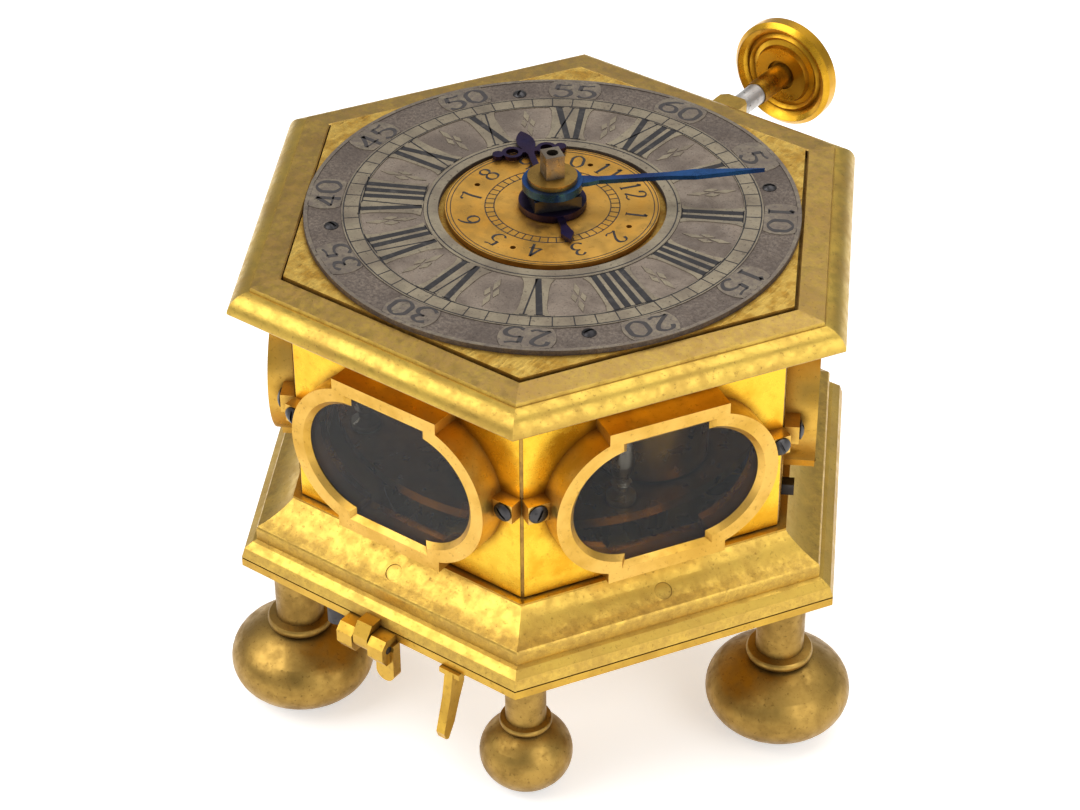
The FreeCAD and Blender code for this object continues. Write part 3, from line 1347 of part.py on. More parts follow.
def make_balance():
    """The verge with its two pallets and the balance ring under the lower plate."""
    low = cock_height
    rod = cylinder("verge_rod", cell.verge_radius, verge_top - low, (0, 0, low))
    outer = cylinder("balance_rim_outer", cell.balance_radius, cell.balance_thickness, (0, 0, balance_height))
    inner = cylinder("balance_rim_inner", cell.balance_radius - cell.balance_rim, 5,
                     (0, 0, balance_height - 1))
    pieces = [rod, cut("balance_rim_ring", outer, [inner])]
    for k in range(3):
        arm = box(f"balance_arm_{k}", cell.balance_radius - cell.balance_rim / 2, 1, cell.balance_thickness,
                  (0, -0.5, 0))
        pieces.append(placed(f"balance_arm_placed_{k}", arm, (0, 0, balance_height), turned(30 + 120 * k)))
    for k, rise in enumerate((-cell.pallet_rise, cell.pallet_rise)):
        flag = box(f"pallet_{k}", cell.pallet_length, 0.4, 1.4, (0, -0.2, 0))
        spot = (0, 0, crown_axis + rise - 0.7)
        pieces.append(placed(f"pallet_placed_{k}", flag, spot,
                             turned(SIZES["crown_angle"] + 180 + 50 * (2 * k - 1))))
    node("balance", fuse("balance_solid", pieces, verge_at + (0,)))

    bridge_top = cock_height + cell.cock_thickness
    length = cell.cock_foot * 2 + cell.cock_width / 2
    bridge = box("cock_bridge", length, cell.cock_width, cell.cock_thickness,
                 (-length / 2, -cell.cock_width / 2, cock_height))
    feet = [box(f"cock_foot_{side + 1}", cell.cock_width / 2, cell.cock_width,
                lower_plate_height - bridge_top,
                (side * cell.cock_foot - cell.cock_width / 4, -cell.cock_width / 2,
                 bridge_top)) for side in (-1, 1)]
    bore = cylinder("cock_bore", cell.verge_radius + cell.running_gap, 10, (0, 0, cock_height - 5))
    node("balance_cock", cut("cock_cut", fuse("cock_solid", [bridge] + feet), [bore], verge_at + (0,)))


def make_chain():
    """The straight span of the fusee chain, on the side away from the centre."""
    start = [value_of(size) for size in barrel_at]
    end = [value_of(size) for size in fusee_at]
    span = math.dist(start, end)
    above_wheel = SIZES["chain_rise"] - SIZES["great_rise"] - SIZES["great_thickness"]
    fusee_share = above_wheel / SIZES["fusee_length"]
    lean = SIZES["fusee_radius"] - SIZES["fusee_top_radius"]
    near = SIZES["barrel_radius"] + SIZES["chain_gap"]
    far = SIZES["fusee_radius"] - lean * fusee_share + SIZES["chain_gap"]
    heading = math.degrees(math.atan2(end[1] - start[1], end[0] - start[0]))
    tilt = math.degrees(math.asin((near - far) / span))
    band = box("chain_band", math.sqrt(span**2 - (near - far) ** 2), cell.chain_thickness, cell.chain_width,
               (0, near, 0))
    node("fusee_chain", placed("chain_placed", band, barrel_at + (chain_height,), turned(heading - tilt)))


def make_plates():
    lower = cylinder("lower_disc", cell.plate_radius, cell.plate_thickness, (0, 0, lower_plate_height))
    upper = cylinder("upper_disc", cell.plate_radius, cell.plate_thickness, (0, 0, upper_plate_height))
    bushed = cell.pivot_radius + cell.running_gap
    lower_bores = [("centre", (0, 0), bushed), ("third", third_at, bushed), ("contrate", contrate_at, bushed),
                   ("pin", pin_wheel_at, bushed), ("fly", fly_at, bushed),
                   ("fusee", fusee_at, cell.key_square / 2 + cell.running_gap),
                   ("barrel", barrel_at, cell.key_square / 2 + cell.running_gap),
                   ("strike", strike_at, cell.key_square / 2 + cell.running_gap),
                   ("verge", verge_at, cell.verge_radius + 0.6),
                   ("hammer", hammer_at, cell.pivot_radius + cell.running_gap)]
    upper_bores = [("centre", (0, 0), cell.arbor_radius + cell.running_gap), ("third", third_at, bushed),
                   ("contrate", contrate_at, bushed), ("pin", pin_wheel_at, bushed), ("fly", fly_at, bushed),
                   ("fusee", fusee_at, bushed), ("barrel", barrel_at, bushed), ("strike", strike_at, bushed)]
    pillar_spots = [("pillar_%d" % k, polar(cell.pillar_reach, cell.pillar_angle + 90 * k),
                     cell.pillar_spigot_radius)
                    for k in range(4)]
    block = box("potence_block", cell.potence_far - cell.potence_near, cell.potence_width,
                potence_top - lower_plate_top + 0.5, (cell.potence_near, -cell.potence_width / 2, 0))
    potence = placed("potence_placed", block, contrate_at + (lower_plate_top - 0.5,),
                     turned(SIZES["crown_angle"]))
    along = Rotation(Vector(0, 0, 1), SIZES["crown_angle"]).multiply(ALONG_X)
    crown_bore = cylinder("crown_bore", cell.pivot_radius + cell.running_gap, 30,
                          contrate_at + (crown_axis,), along)
    for name, solid, height, spots, extra in (
            ("lower_plate", fuse("lower_solid", [lower, potence] + make_silent_stud()), lower_plate_height,
             lower_bores, [crown_bore]),
            ("upper_plate", fuse("upper_solid", [upper] + make_studs()), upper_plate_height, upper_bores,
             [])):
        bores = [cylinder(f"{name}_bore_{tag}", radius, cell.plate_thickness + 1, spot + (height - 0.5,))
                 for tag, spot, radius in spots + pillar_spots]
        node(name, cut(f"{name}_cut", solid, bores + extra))


def make_studs():
    """The studs that carry the minute wheel and the repeat lever."""
    motion = cylinder("motion_stud", cell.pivot_radius, hour_wheel_height + 2.6 - upper_plate_top,
                      motion_at + (upper_plate_top,))
    collar = cylinder("motion_collar", cell.pivot_radius * 2, cannon_height + 0.4 - upper_plate_top,
                      motion_at + (upper_plate_top,))
    spot = (-cell.lever_pivot, cell.plunger_inner - cell.lever_gap - cell.lever_width / 2)
    post = cylinder("lever_post", cell.lever_stud + 0.8,
                    plunger_height - 1.6 - upper_plate_top, spot + (upper_plate_top,))
    pin = cylinder("lever_pin", cell.lever_stud, plunger_height + 2.2 - upper_plate_top,
                   spot + (upper_plate_top,))
    return [motion, collar, post, pin]


def make_silent_stud():
    """The headed stud under the lower plate that carries the silent lever."""
    spot = (cell.silent_pivot, cell.silent_slide)
    low = silent_height - cell.rest_gap
    head = cylinder("silent_stud_head", cell.silent_width, 1, spot + (low - 1,))
    rod = cylinder("silent_stud_rod", cell.silent_stud, lower_plate_height - low, spot + (low,))
    collar_low = silent_height + cell.silent_thickness + cell.rest_gap
    collar = cylinder("silent_stud_collar", cell.silent_width, lower_plate_height - collar_low,
                      spot + (collar_low,))
    return [placed("silent_stud", fuse("silent_stud_solid", [head, rod, collar]), rotation=turned(30))]


def make_pillars():
    """Turned pillars between the plates that go on up to carry the dial plate."""
    inner = upper_plate_height - lower_plate_top
    foot = cell.pillar_foot_radius
    waist = cell.pillar_waist_radius
    belly = cell.pillar_belly_radius
    spigot = cell.pillar_spigot_radius
    rise = cell.pillar_belly_height
    height = dial_bottom - lower_plate_top
    points = [
        (0, -cell.plate_thickness), (spigot, -cell.plate_thickness), (spigot, 0), (foot, 0), (foot, 1.4),
        (waist, 2.4), (waist, 3.6), (waist + 0.6, 4.2), (waist, 4.8), (belly, rise, inner),
        (waist, inner - 4.2),
        (waist + 0.6, inner - 3.4), (waist, inner - 2.6), (foot, inner - 1.2), (foot, inner), (spigot, inner),
        (spigot, inner + cell.plate_thickness), (foot * 0.8, inner + cell.plate_thickness),
        (foot * 0.8, height),
        (0, height)]
    pillars = [revolved(f"pillar_{k}", points, polar(cell.pillar_reach,
                                                     cell.pillar_angle + 90 * k) + (lower_plate_top,))
               for k in range(4)]
    node("pillars", group("pillars_set", pillars))


def make_bell():
    """The bell, its stud and its nut, hanging under the lower plate with holes for the key squares."""
    radius = cell.bell_radius
    top = cell.bell_height
    wall = cell.bell_wall
    shell = revolved("bell_shell", [
        (radius, 0), (radius, 1, radius * 0.9), (radius * 0.55, top - wall * 0.6),
        (cell.bell_stud_radius, top),
        (cell.bell_stud_radius, top - wall), (radius * 0.55, top - wall * 1.6, -radius * 0.9),
        (radius - wall, 1),
        (radius - wall, 0)], (0, 0, bell_rim_height))
    holes = [cylinder(f"bell_hole_{name}", cell.bell_hole_radius, 30, spot + (bell_rim_height - 5,))
             for name, spot in (("fusee", fusee_at), ("barrel", barrel_at), ("strike", strike_at))]
    node("bell", cut("bell_cut", shell, holes))
    crown = bell_rim_height + top
    shank = cylinder("bell_shank", cell.bell_stud_radius, lower_plate_height - crown + 4, (0, 0, crown - 4))
    shoulder = cylinder("bell_shoulder", cell.bell_nut_radius, lower_plate_height - crown, (0, 0, crown))
    washer = cylinder("bell_nut", cell.bell_nut_radius, 1.6, (0, 0, crown - wall - 1.6 - cell.rest_gap))
    node("bell_stud", fuse("bell_stud_solid", [shank, shoulder, washer]))


def make_hammer():
    rod_top = lower_plate_top
    rod = cylinder("hammer_rod", cell.pivot_radius + 0.3, lower_plate_height - cell.rest_gap - hammer_height,
                   (0, 0, hammer_height))
    pivot = cylinder("hammer_pivot", cell.pivot_radius, rod_top - hammer_height, (0, 0, hammer_height))
    swing = math.radians(SIZES["hammer_swing"])
    reach = 2 * cell.hammer_reach * math.sin(swing / 2)
    heading = SIZES["hammer_angle"] - 90 - SIZES["hammer_swing"] / 2
    arm = box("hammer_arm_bar", reach, cell.hammer_arm, cell.hammer_arm, (0, -cell.hammer_arm / 2, 0))
    head = cylinder("hammer_head", cell.hammer_head_radius, 3 * cell.hammer_arm, (reach, 0, -cell.hammer_arm))
    swung = fuse("hammer_swung", [arm, head], (0, 0, hammer_height), turned(heading))
    node("hammer", fuse("hammer_solid", [rod, pivot, swung], hammer_at + (0,)))


# The plunger that asks for the last hour again


def make_repeat():
    height = plunger_height
    length = cell.block_end - cell.panel_out
    guide = padded("guide_block", "XY_Plane", [
        (-cell.block_half, cell.panel_out), (cell.block_half, cell.panel_out),
        (cell.block_half, cell.panel_out + length - 1.2), (cell.block_half - 1.2, cell.block_end),
        (1.2 - cell.block_half, cell.block_end), (-cell.block_half, cell.panel_out + length - 1.2)],
        cell.block_drop + cell.block_rise, (0, 0, height - cell.block_drop))
    bore = cylinder("guide_bore", cell.plunger_radius + cell.running_gap, 80, (0, 20, height), ALONG_Y)
    node("repeat_block", cut("guide_cut", guide, [bore]))

    rod = cylinder("plunger_rod", cell.plunger_radius, cell.rod_end - cell.plunger_inner,
                   (0, cell.plunger_inner, height), ALONG_Y)
    head = cylinder("plunger_head_disc", cell.plunger_head, 1.5, (0, cell.plunger_inner, height), ALONG_Y)
    node("repeat_rod", fuse("plunger_solid", [rod, head]))

    start = cell.knob_start - cell.rod_end
    end = cell.knob_end - cell.rod_end
    rim = cell.knob_radius
    knob = revolved("knob_turned", [
        (0, 0), (cell.sleeve_radius, 0), (cell.sleeve_radius, start + cell.sleeve_gap),
        (cell.sleeve_radius + cell.sleeve_gap, start + cell.sleeve_gap),
        (cell.sleeve_radius + cell.sleeve_gap, start),
        (cell.knob_hub_radius, start),
        (cell.knob_hub_radius + 0.4, start + 1), (cell.knob_bead_reach - cell.knob_bead, start + 1.4),
        (cell.knob_bead_reach, start + 0.8), (cell.knob_bead_reach + cell.knob_bead, start + 1.4),
        (rim - cell.knob_rim, start + 0.6), (rim - cell.knob_rim / 2, start - 0.2), (rim, start + 0.8),
        (rim, end - 1, dome(rim, cell.knob_crown)), (0, end - 1 + cell.knob_crown)],
        (0, cell.rod_end, height), ALONG_Y)
    node("repeat_knob", knob)

    pivot = (-cell.lever_pivot, cell.plunger_inner - cell.lever_gap - cell.lever_width / 2, height - 1.4)
    arm = box("lever_bar", cell.lever_pivot + cell.plunger_head, cell.lever_width, 2.8,
              (0, -cell.lever_width / 2, 0))
    boss = cylinder("lever_boss", cell.lever_stud + 1.5, 2.8)
    hole = cylinder("lever_bore", cell.lever_stud + cell.running_gap, 10, (0, 0, -5))
    node("repeat_lever", cut("lever_cut", fuse("lever_solid", [arm, boss]), [hole], pivot))


def make_silent_lever():
    """The small lever at the right side that silences the striking."""
    bar = box("silent_bar", cell.silent_end - cell.silent_pivot, cell.silent_width, cell.silent_thickness,
              (cell.silent_pivot, cell.silent_slide - cell.silent_width / 2, silent_height))
    spot = (cell.silent_pivot, cell.silent_slide, silent_height)
    boss = cylinder("silent_boss", cell.silent_width, cell.silent_thickness, spot)
    bore = cylinder("silent_bore", cell.silent_stud + cell.running_gap, 10, spot[:2] + (silent_height - 5,))
    node("silent_lever", cut("silent_cut", fuse("silent_solid", [bar, boss]), [bore], rotation=turned(30)))


make_cover()
make_feet()
make_hinge_pin()
make_cover_screws()
make_hook()
make_base()
make_sides()
make_top_moulding()
make_dial()
make_alarm_disc()
make_hour_hand()
make_minute_hand()
make_motion_work()
make_centre()
make_going_train()
make_barrels()
make_striking()
make_balance()
make_chain()
make_plates()
make_pillars()
make_bell()
make_hammer()
make_repeat()
make_silent_lever()

doc.recompute()
for item in doc.Objects:
    if "Invalid" in item.State or "Error" in item.State:
        raise RuntimeError(f"{item.Label} did not build")
for item in nodes:
    if item.Shape.isNull() or not item.Shape.isValid():
        raise RuntimeError(f"{item.Label} has no valid shape")
os.makedirs("parts", exist_ok=True)
for item in nodes:
    item.Shape.exportStep(f"parts/{item.Label}.step")
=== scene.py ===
import math

import bmesh
import bpy
from mathutils import Matrix, Vector


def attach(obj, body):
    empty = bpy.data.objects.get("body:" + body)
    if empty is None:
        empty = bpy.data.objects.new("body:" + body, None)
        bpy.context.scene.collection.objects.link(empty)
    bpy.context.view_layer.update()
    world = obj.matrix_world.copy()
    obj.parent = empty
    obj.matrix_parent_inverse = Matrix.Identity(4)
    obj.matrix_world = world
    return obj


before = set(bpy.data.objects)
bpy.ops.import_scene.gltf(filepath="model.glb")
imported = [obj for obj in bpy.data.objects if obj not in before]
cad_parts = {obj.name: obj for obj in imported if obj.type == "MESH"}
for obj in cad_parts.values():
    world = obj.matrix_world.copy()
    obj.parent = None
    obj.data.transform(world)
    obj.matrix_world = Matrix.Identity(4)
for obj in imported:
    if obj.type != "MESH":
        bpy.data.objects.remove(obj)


def write_size():
    """Updates the view layer."""
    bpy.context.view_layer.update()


write_size()

MM = 0.001

# Heights of the solids that carry marks, in millimetres
DIAL_TOP = 100.1
ALARM_TOP = 100.4

# Sockets of the colour mix node
MIX_COLOUR_SOCKETS = (0, 6, 7)
MIX_COLOUR_RESULT = 2

# Corners darkened by ambient occlusion, painted shade mixed with grime: rays, the reach in
# millimetres and the share of the grime colour
CREVICE_SAMPLES = 8
CREVICE_REACH = 3.0
CREVICE_SHADE_AND_GRIME_SHARE = 0.8
CREVICE_ROUGHNESS = 0.25
SPECK_ROUGHNESS = 0.2


# Materials


class Tree:
    """The node tree of one new material."""

    def __init__(self, name):
        self.material = bpy.data.materials.new(name)
        self.material.use_nodes = True
        self.nodes = self.material.node_tree.nodes
        self.links = self.material.node_tree.links
        self.shader = self.nodes["Principled BSDF"]

    def add(self, kind, **values):
        node = self.nodes.new("ShaderNode" + kind)
        for name, value in values.items():
            setattr(node, name, value)
        return node

    def feed(self, node, **values):
        """Sets sockets by name: a number or colour is set, a socket is linked."""
        for name, value in values.items():
            socket = node.inputs[name.replace("_", " ")]
            if isinstance(value, bpy.types.NodeSocket):
                self.links.new(value, socket)
            else:
                socket.default_value = value
        return node

    def place(self, stretch=(1, 1, 1)):
        coordinate = self.add("TexCoord")
        mapping = self.feed(self.add("Mapping"), Scale=stretch)
        self.links.new(coordinate.outputs["Object"], mapping.inputs["Vector"])
        return mapping.outputs["Vector"]

    def noise(self, scale, detail=4.0, roughness=0.55, stretch=(1, 1, 1)):
        node = self.add("TexNoise")
        self.feed(node, Vector=self.place(stretch), Scale=scale, Detail=detail)
        self.feed(node, Roughness=roughness)
        return node.outputs["Fac"]

    def part(self, axis):
        """One object coordinate in millimetres, or the distance from the hand axis."""
        coordinate = self.add("TexCoord").outputs["Object"]
        if axis == "radius":
            flat = self.add("VectorMath", operation="MULTIPLY")
            self.links.new(coordinate, flat.inputs[0])
            flat.inputs[1].default_value = (1 / MM, 1 / MM, 0.0)
            length = self.add("VectorMath", operation="LENGTH")
            self.links.new(flat.outputs["Vector"], length.inputs[0])
            return length.outputs["Value"]
        split = self.feed(self.add("SeparateXYZ"), Vector=coordinate)
        return self.math("MULTIPLY", split.outputs[axis], 1 / MM)

    def belt(self, axis, low, high, blur):
        """One between low and high millimetres along an axis, nothing outside."""
        place = self.part(axis)
        into = self.band(place, low - blur, low + blur)
        return self.math("MULTIPLY", into, self.band(place, high - blur, high + blur, 1.0, 0.0))

    def band(self, value, low, high, bottom=0.0, top=1.0):
        node = self.add("MapRange", interpolation_type="SMOOTHSTEP")
        self.feed(node, Value=value, From_Min=low, From_Max=high, To_Min=bottom, To_Max=top)
        return node.outputs["Result"]

    def math(self, operation, a, b):
        node = self.add("Math", operation=operation)
        for socket, value in zip(node.inputs, (a, b)):
            if isinstance(value, bpy.types.NodeSocket):
                self.links.new(value, socket)
            else:
                socket.default_value = value
        return node.outputs["Value"]

    def mix(self, factor, a, b):
        """The colour a, turned into b by factor."""
        node = self.add("Mix", data_type="RGBA")
        share, first, second = (node.inputs[k] for k in MIX_COLOUR_SOCKETS)
        for socket, value in ((share, factor), (first, a), (second, b)):
            if isinstance(value, bpy.types.NodeSocket):
                self.links.new(value, socket)
            else:
                socket.default_value = value
        return node.outputs[MIX_COLOUR_RESULT]

    # Ambient occlusion, which paints shade into corners and gaps
    def crevice(self, reach):
        node = self.add("AmbientOcclusion", samples=CREVICE_SAMPLES)
        self.feed(node, Distance=reach)
        return node.outputs["AO"]

    def bump(self, height, distance, strength=1.0):
        node = self.feed(self.add("Bump"), Height=height, Distance=distance, Strength=strength)
        self.links.new(node.outputs["Normal"], self.shader.inputs["Normal"])


def rgb(code):
    """A linear colour from a six-digit sRGB code."""
    parts = [int(code[k:k + 2], 16) / 255 for k in (0, 2, 4)]
    linear = [c / 12.92 if c <= 0.04045 else ((c + 0.055) / 1.055) ** 2.4 for c in parts]
    return tuple(linear) + (1.0,)


def metal(name, base, tone, grime_and_crevice_shade, rough=0.35, patch=70.0, specks=0.5, grain=900.0, relief=0.02,
          stretch=(1, 1, 1), belts=()):
    """A worn metal: base with patches of tone, specks of grime, and corners turned to the grime
    colour by ambient occlusion, which is painted shade as well as grime.
    Each belt (axis, low, high, blur, share, colour) is a tarnished band in millimetres."""
    tree = Tree(name)
    patches = tree.band(tree.noise(patch, 5.0, 0.6), 0.38, 0.66)
    colour = tree.mix(patches, rgb(base), rgb(tone))
    for axis, low, high, blur, share, tarnish in belts:
        broken = tree.band(tree.noise(grain * 0.6, 8.0, 0.75), 0.36, 0.62, 0.25, 1.0)
        cover = tree.math("MULTIPLY", tree.belt(axis, low, high, blur), broken)
        colour = tree.mix(tree.math("MULTIPLY", cover, share), colour, rgb(tarnish))
    speckle = tree.band(tree.noise(grain, 6.0, 0.7, stretch), 0.56, 0.70, 0.0, specks)
    colour = tree.mix(speckle, colour, rgb(grime_and_crevice_shade))
    # Painted shade: corners and gaps found by ambient occlusion are mixed towards the grime colour,
    # partly as grime and partly as shade.
    crevice_shade_and_grime = tree.band(tree.crevice(CREVICE_REACH * MM), 0.35, 0.95, CREVICE_SHADE_AND_GRIME_SHARE, 0.0)
    colour = tree.mix(crevice_shade_and_grime, colour, rgb(grime_and_crevice_shade))
    tree.feed(tree.shader, Base_Color=colour, Metallic=1.0)
    matt = tree.band(tree.noise(patch * 4, 4.0, 0.6), 0.3, 0.7, rough * 0.75, rough * 1.3)
    matt = tree.math("ADD", matt, tree.math("MULTIPLY", crevice_shade_and_grime, CREVICE_ROUGHNESS))
    matt = tree.math("ADD", matt, tree.math("MULTIPLY", speckle, SPECK_ROUGHNESS))
    tree.feed(tree.shader, Roughness=matt)
    tree.bump(tree.noise(grain, 5.0, 0.65, stretch), relief * MM)
    return tree.material


LOOKS = {
    "top": metal("worn_gilt_top", "C6A64C", "B89646", "7C5E34", 0.38, patch=120.0, specks=0.6,
                 grain=1400.0, belts=(("Z", 98.3, 101.0, 0.2, 0.65, "AC8858"),
                                      ("Z", 92.0, 94.6, 0.6, 0.35, "A07C3A"))),
    "base": metal("worn_gilt_base", "D0AC4E", "C29E4A", "7C5E30", 0.38, patch=110.0, specks=0.5,
                  grain=1400.0, belts=(("Z", 40.6, 44.6, 0.9, 0.6, "98783E"),
                                       ("Z", 36.0, 38.9, 0.3, 0.45, "94743E"))),
    "cover": metal("worn_gilt_cover", "C9A040", "B48C38", "6E5024", 0.36, specks=0.5),
    "panel": metal("gilt_panel", "EDBE3A", "D9A024", "7A4A14", 0.26, specks=0.3, relief=0.008),
    "seam": metal("brown_seam", "A8823C", "8C6A3A", "5A4220", 0.4, patch=160.0, specks=0.9),
    "frame": metal("gilt_window_frame", "D8AC54", "C69A40", "7C5420", 0.36, specks=0.45,
                   grain=1300.0),
    "foot": metal("worn_gilt_foot", "AC8A46", "8E7038", "5A4422", 0.42, patch=110.0, specks=0.6,
                  grain=1200.0, relief=0.03),
    "knob": metal("orange_gilt_knob", "D8A42E", "C08E22", "7A5418", 0.3, specks=0.25, relief=0.006,
                  belts=(("Y", 70.0, 80.3, 0.2, 0.75, "6E5220"),)),
    "plate": metal("scratched_gilt_plate", "E2BC5E", "C0943E", "7E5A28", 0.4, patch=420.0,
                   specks=0.9, grain=1100.0, stretch=(1, 0.25, 1), relief=0.12),
    "alarm": metal("orange_gilt_disc", "E6B154", "D29A3E", "8A5A24", 0.36, specks=0.4, relief=0.006),
    "silver": metal("tarnished_silver", "A69A84", "8C8070", "544C44", 0.5, patch=140.0, specks=0.8,
                    grain=1400.0, belts=(("radius", 39.6, 60.0, 0.3, 0.85, "7C716A"),)),
    "ground": metal("matted_silver", "9C8E80", "7C7066", "4A4340", 0.55, patch=90.0, grain=2600.0,
                    specks=0.9, relief=0.08, belts=(("radius", 39.6, 60.0, 0.3, 0.9, "665C56"),)),
    "brass": metal("plain_brass", "B08A40", "8C6A30", "3E2E16", 0.32, specks=0.4, relief=0.006),
    "steel": metal("dark_steel", "4A4848", "343234", "1C1A1A", 0.38, specks=0.5, relief=0.01),
    "pale": metal("pale_steel", "B6B2AC", "96908A", "54504A", 0.3, specks=0.5, relief=0.02),
    "square": metal("grey_arbor", "9C8F7C", "7C7062", "3E362E", 0.34, patch=160.0, specks=0.7),
    "pitted": metal("pitted_steel", "D6D4D0", "B4B0AC", "504C4A", 0.42, patch=200.0, specks=0.9,
                    grain=1100.0, relief=0.06),
    "blue": metal("blued_steel", "2F5C96", "2C3A70", "14162A", 0.3, patch=110.0, specks=0.3),
    "purple": metal("purple_steel", "3C2C48", "2C2648", "14101C", 0.32, patch=120.0, specks=0.4),
    "bell": metal("bell_metal", "A08A50", "80683A", "4A3A1C", 0.28, specks=0.3, relief=0.006),
}


def glass_look():
    tree = Tree("window_glass")
    smear = tree.noise(60.0, 4.0, 0.6)
    tree.feed(tree.shader, Base_Color=rgb("B4B2AC"), Transmission_Weight=1.0, IOR=1.22)
    tree.feed(tree.shader, Roughness=tree.band(smear, 0.3, 0.8, 0.0, 0.06))
    tree.bump(tree.noise(35.0, 2.0), 0.05 * MM, 0.3)
    return tree.material


LOOKS["glass"] = glass_look()


def wax_look():
    tree = Tree("black_wax")
    worn = tree.band(tree.noise(500.0, 5.0, 0.7), 0.5, 0.75)
    colour = tree.mix(worn, rgb("2A2829"), rgb("4A4644"))
    faded = tree.math("MULTIPLY", tree.belt("radius", 39.6, 60.0, 0.2), 0.4)
    colour = tree.mix(faded, colour, rgb("524C4A"))
    tree.feed(tree.shader, Base_Color=colour, Metallic=0.0, Specular_IOR_Level=0.25)
    tree.feed(tree.shader, Roughness=tree.band(worn, 0.0, 1.0, 0.45, 0.7))
    tree.bump(tree.noise(1500.0), 0.02 * MM)
    return tree.material


LOOKS["wax"] = wax_look()

NODE_LOOKS = {
    "top": ("top_moulding", "repeat_block"),
    "base": ("base_moulding", "base_plugs"),
    "cover": ("bottom_cover", "latch_hook", "case_knuckle"),
    "seam": ("corner_posts",),
    "panel": ("panel_right", "panel_rear_right", "panel_rear", "panel_rear_left",
              "panel_front_left", "panel_front"),
    "frame": ("window_frame_right", "window_frame_rear_right", "window_frame_rear",
              "window_frame_rear_left", "window_frame_front_left", "window_frame_front"),
    "foot": ("large_feet", "small_feet"),
    "knob": ("repeat_knob",),
    "plate": ("dial_plate",),
    "alarm": ("alarm_disc",),
    "ground": ("chapter_ring",),
    "brass": ("hand_collet", "upper_plate", "lower_plate", "balance_cock", "balance",
              "fusee", "going_barrel", "strike_barrel", "third_wheel", "contrate_wheel",
              "crown_wheel", "centre_wheel", "minute_wheel", "hour_wheel", "pin_wheel",
              "foot_nuts"),
    "steel": ("frame_screws", "cover_screws", "hinge_pin", "hour_block",
              "silent_lever", "ring_screws"),
    "square": ("centre_arbor",),
    "pale": ("pillars", "cannon_pinion", "fly", "hammer", "repeat_lever",
             "bell_stud", "fusee_chain"),
    "pitted": ("repeat_rod",),
    "purple": ("hour_hand",),
    "blue": ("minute_hand",),
    "bell": ("bell",),
    "glass": ("window_panes",),
}


def dress_nodes():
    for look, names in NODE_LOOKS.items():
        for name in names:
            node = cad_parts[name]
            for slot in node.material_slots:
                slot.material = LOOKS[look]


dress_nodes()


# Mesh helpers: sizes in millimetres


def finish_piece(name, mesh, look, body):
    """Makes an object of a mesh in millimetres, with its look, and rides it on a body."""
    for vertex in mesh.verts:
        vertex.co *= MM
    bmesh.ops.recalc_face_normals(mesh, faces=mesh.faces)
    data = bpy.data.meshes.new(name)
    mesh.to_mesh(data)
    mesh.free()
    piece = bpy.data.objects.new(name, data)
    bpy.context.scene.collection.objects.link(piece)
    data.materials.append(LOOKS[look])
    for face in data.polygons:
        face.use_smooth = False
    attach(piece, body)
    return piece


def plate(mesh, outline, bottom, top, slope=0.0):
    """A closed flat piece over a counterclockwise outline, its top set in by slope."""
    count = len(outline)
    low = [mesh.verts.new((x, y, bottom)) for x, y in outline]
    high = []
    for k in range(count):
        before = Vector(outline[k - 1])
        here = Vector(outline[k])
        after = Vector(outline[(k + 1) % count])
        along = (here - before).normalized() + (after - here).normalized()
        inward = Vector((-along.y, along.x)).normalized() * slope
        high.append(mesh.verts.new((here.x + inward.x, here.y + inward.y, top)))
    mesh.faces.new(high)
    mesh.faces.new(list(reversed(low)))
    for k in range(count):
        after = (k + 1) % count
        mesh.faces.new((low[k], low[after], high[after], high[k]))


def ring(mesh, inner, outer, bottom, top, steps=240):
    """A flat closed ring about the hand axis."""
    corners = []
    for k in range(steps):
        turn = 2 * math.pi * k / steps
        c, s = math.cos(turn), math.sin(turn)
        corners.append([mesh.verts.new((r * c, r * s, z)) for r, z in
                        ((inner, bottom), (outer, bottom), (outer, top), (inner, top))])
    for k in range(steps):
        here, after = corners[k], corners[(k + 1) % steps]
        for j in range(4):
            i = (j + 1) % 4
            mesh.faces.new((here[j], after[j], after[i], here[i]))


def stroke(mesh, line, widths, bottom, top, closed=False):
    """A flat closed strip along a line of points, as wide as widths says at each."""
    count = len(line)
    rows = []
    for k in range(count):
        before = Vector(line[k - 1] if closed or k > 0 else line[0])
        after = Vector(line[(k + 1) % count] if closed or k < count - 1 else line[-1])
        along = (after - before).normalized()
        side = Vector((-along.y, along.x)) * widths[k] / 2
        here = Vector(line[k])
        rows.append([mesh.verts.new((p.x, p.y, z)) for p, z in
                     ((here + side, bottom), (here - side, bottom), (here - side, top),
                      (here + side, top))])
    last = count if closed else count - 1
    for k in range(last):
        here, after = rows[k], rows[(k + 1) % count]
        for j in range(4):
            i = (j + 1) % 4
            mesh.faces.new((here[j], here[i], after[i], after[j]))
    if not closed:
        mesh.faces.new(rows[0])
        mesh.faces.new(list(reversed(rows[-1])))


def clock_point(angle, radius, across=0.0):
    """A point at clockwise degrees from the twelve, moved clockwise by across."""
    turn = math.radians(angle)
    c, s = math.cos(turn), math.sin(turn)
    return (radius * s + across * c, radius * c - across * s)


def smooth_line(points, steps=6, closed=False):
    """Points on a smooth curve through the given ones."""
    count = len(points)
    found = []
    spans = count if closed else count - 1
    for k in range(spans):
        if closed:
            p = [Vector(points[(k + j) % count]) for j in (-1, 0, 1, 2)]
        else:
            p = [Vector(points[min(max(k + j, 0), count - 1)]) for j in (-1, 0, 1, 2)]
        for i in range(steps):
            t = i / steps
            found.append(0.5 * (2 * p[1] + (p[2] - p[0]) * t
                                + (2 * p[0] - 5 * p[1] + 4 * p[2] - p[3]) * t * t
                                + (3 * p[1] - p[0] - 3 * p[2] + p[3]) * t ** 3))
    if not closed:
        found.append(Vector(points[-1]))
    return [(p.x, p.y) for p in found]


# Numerals

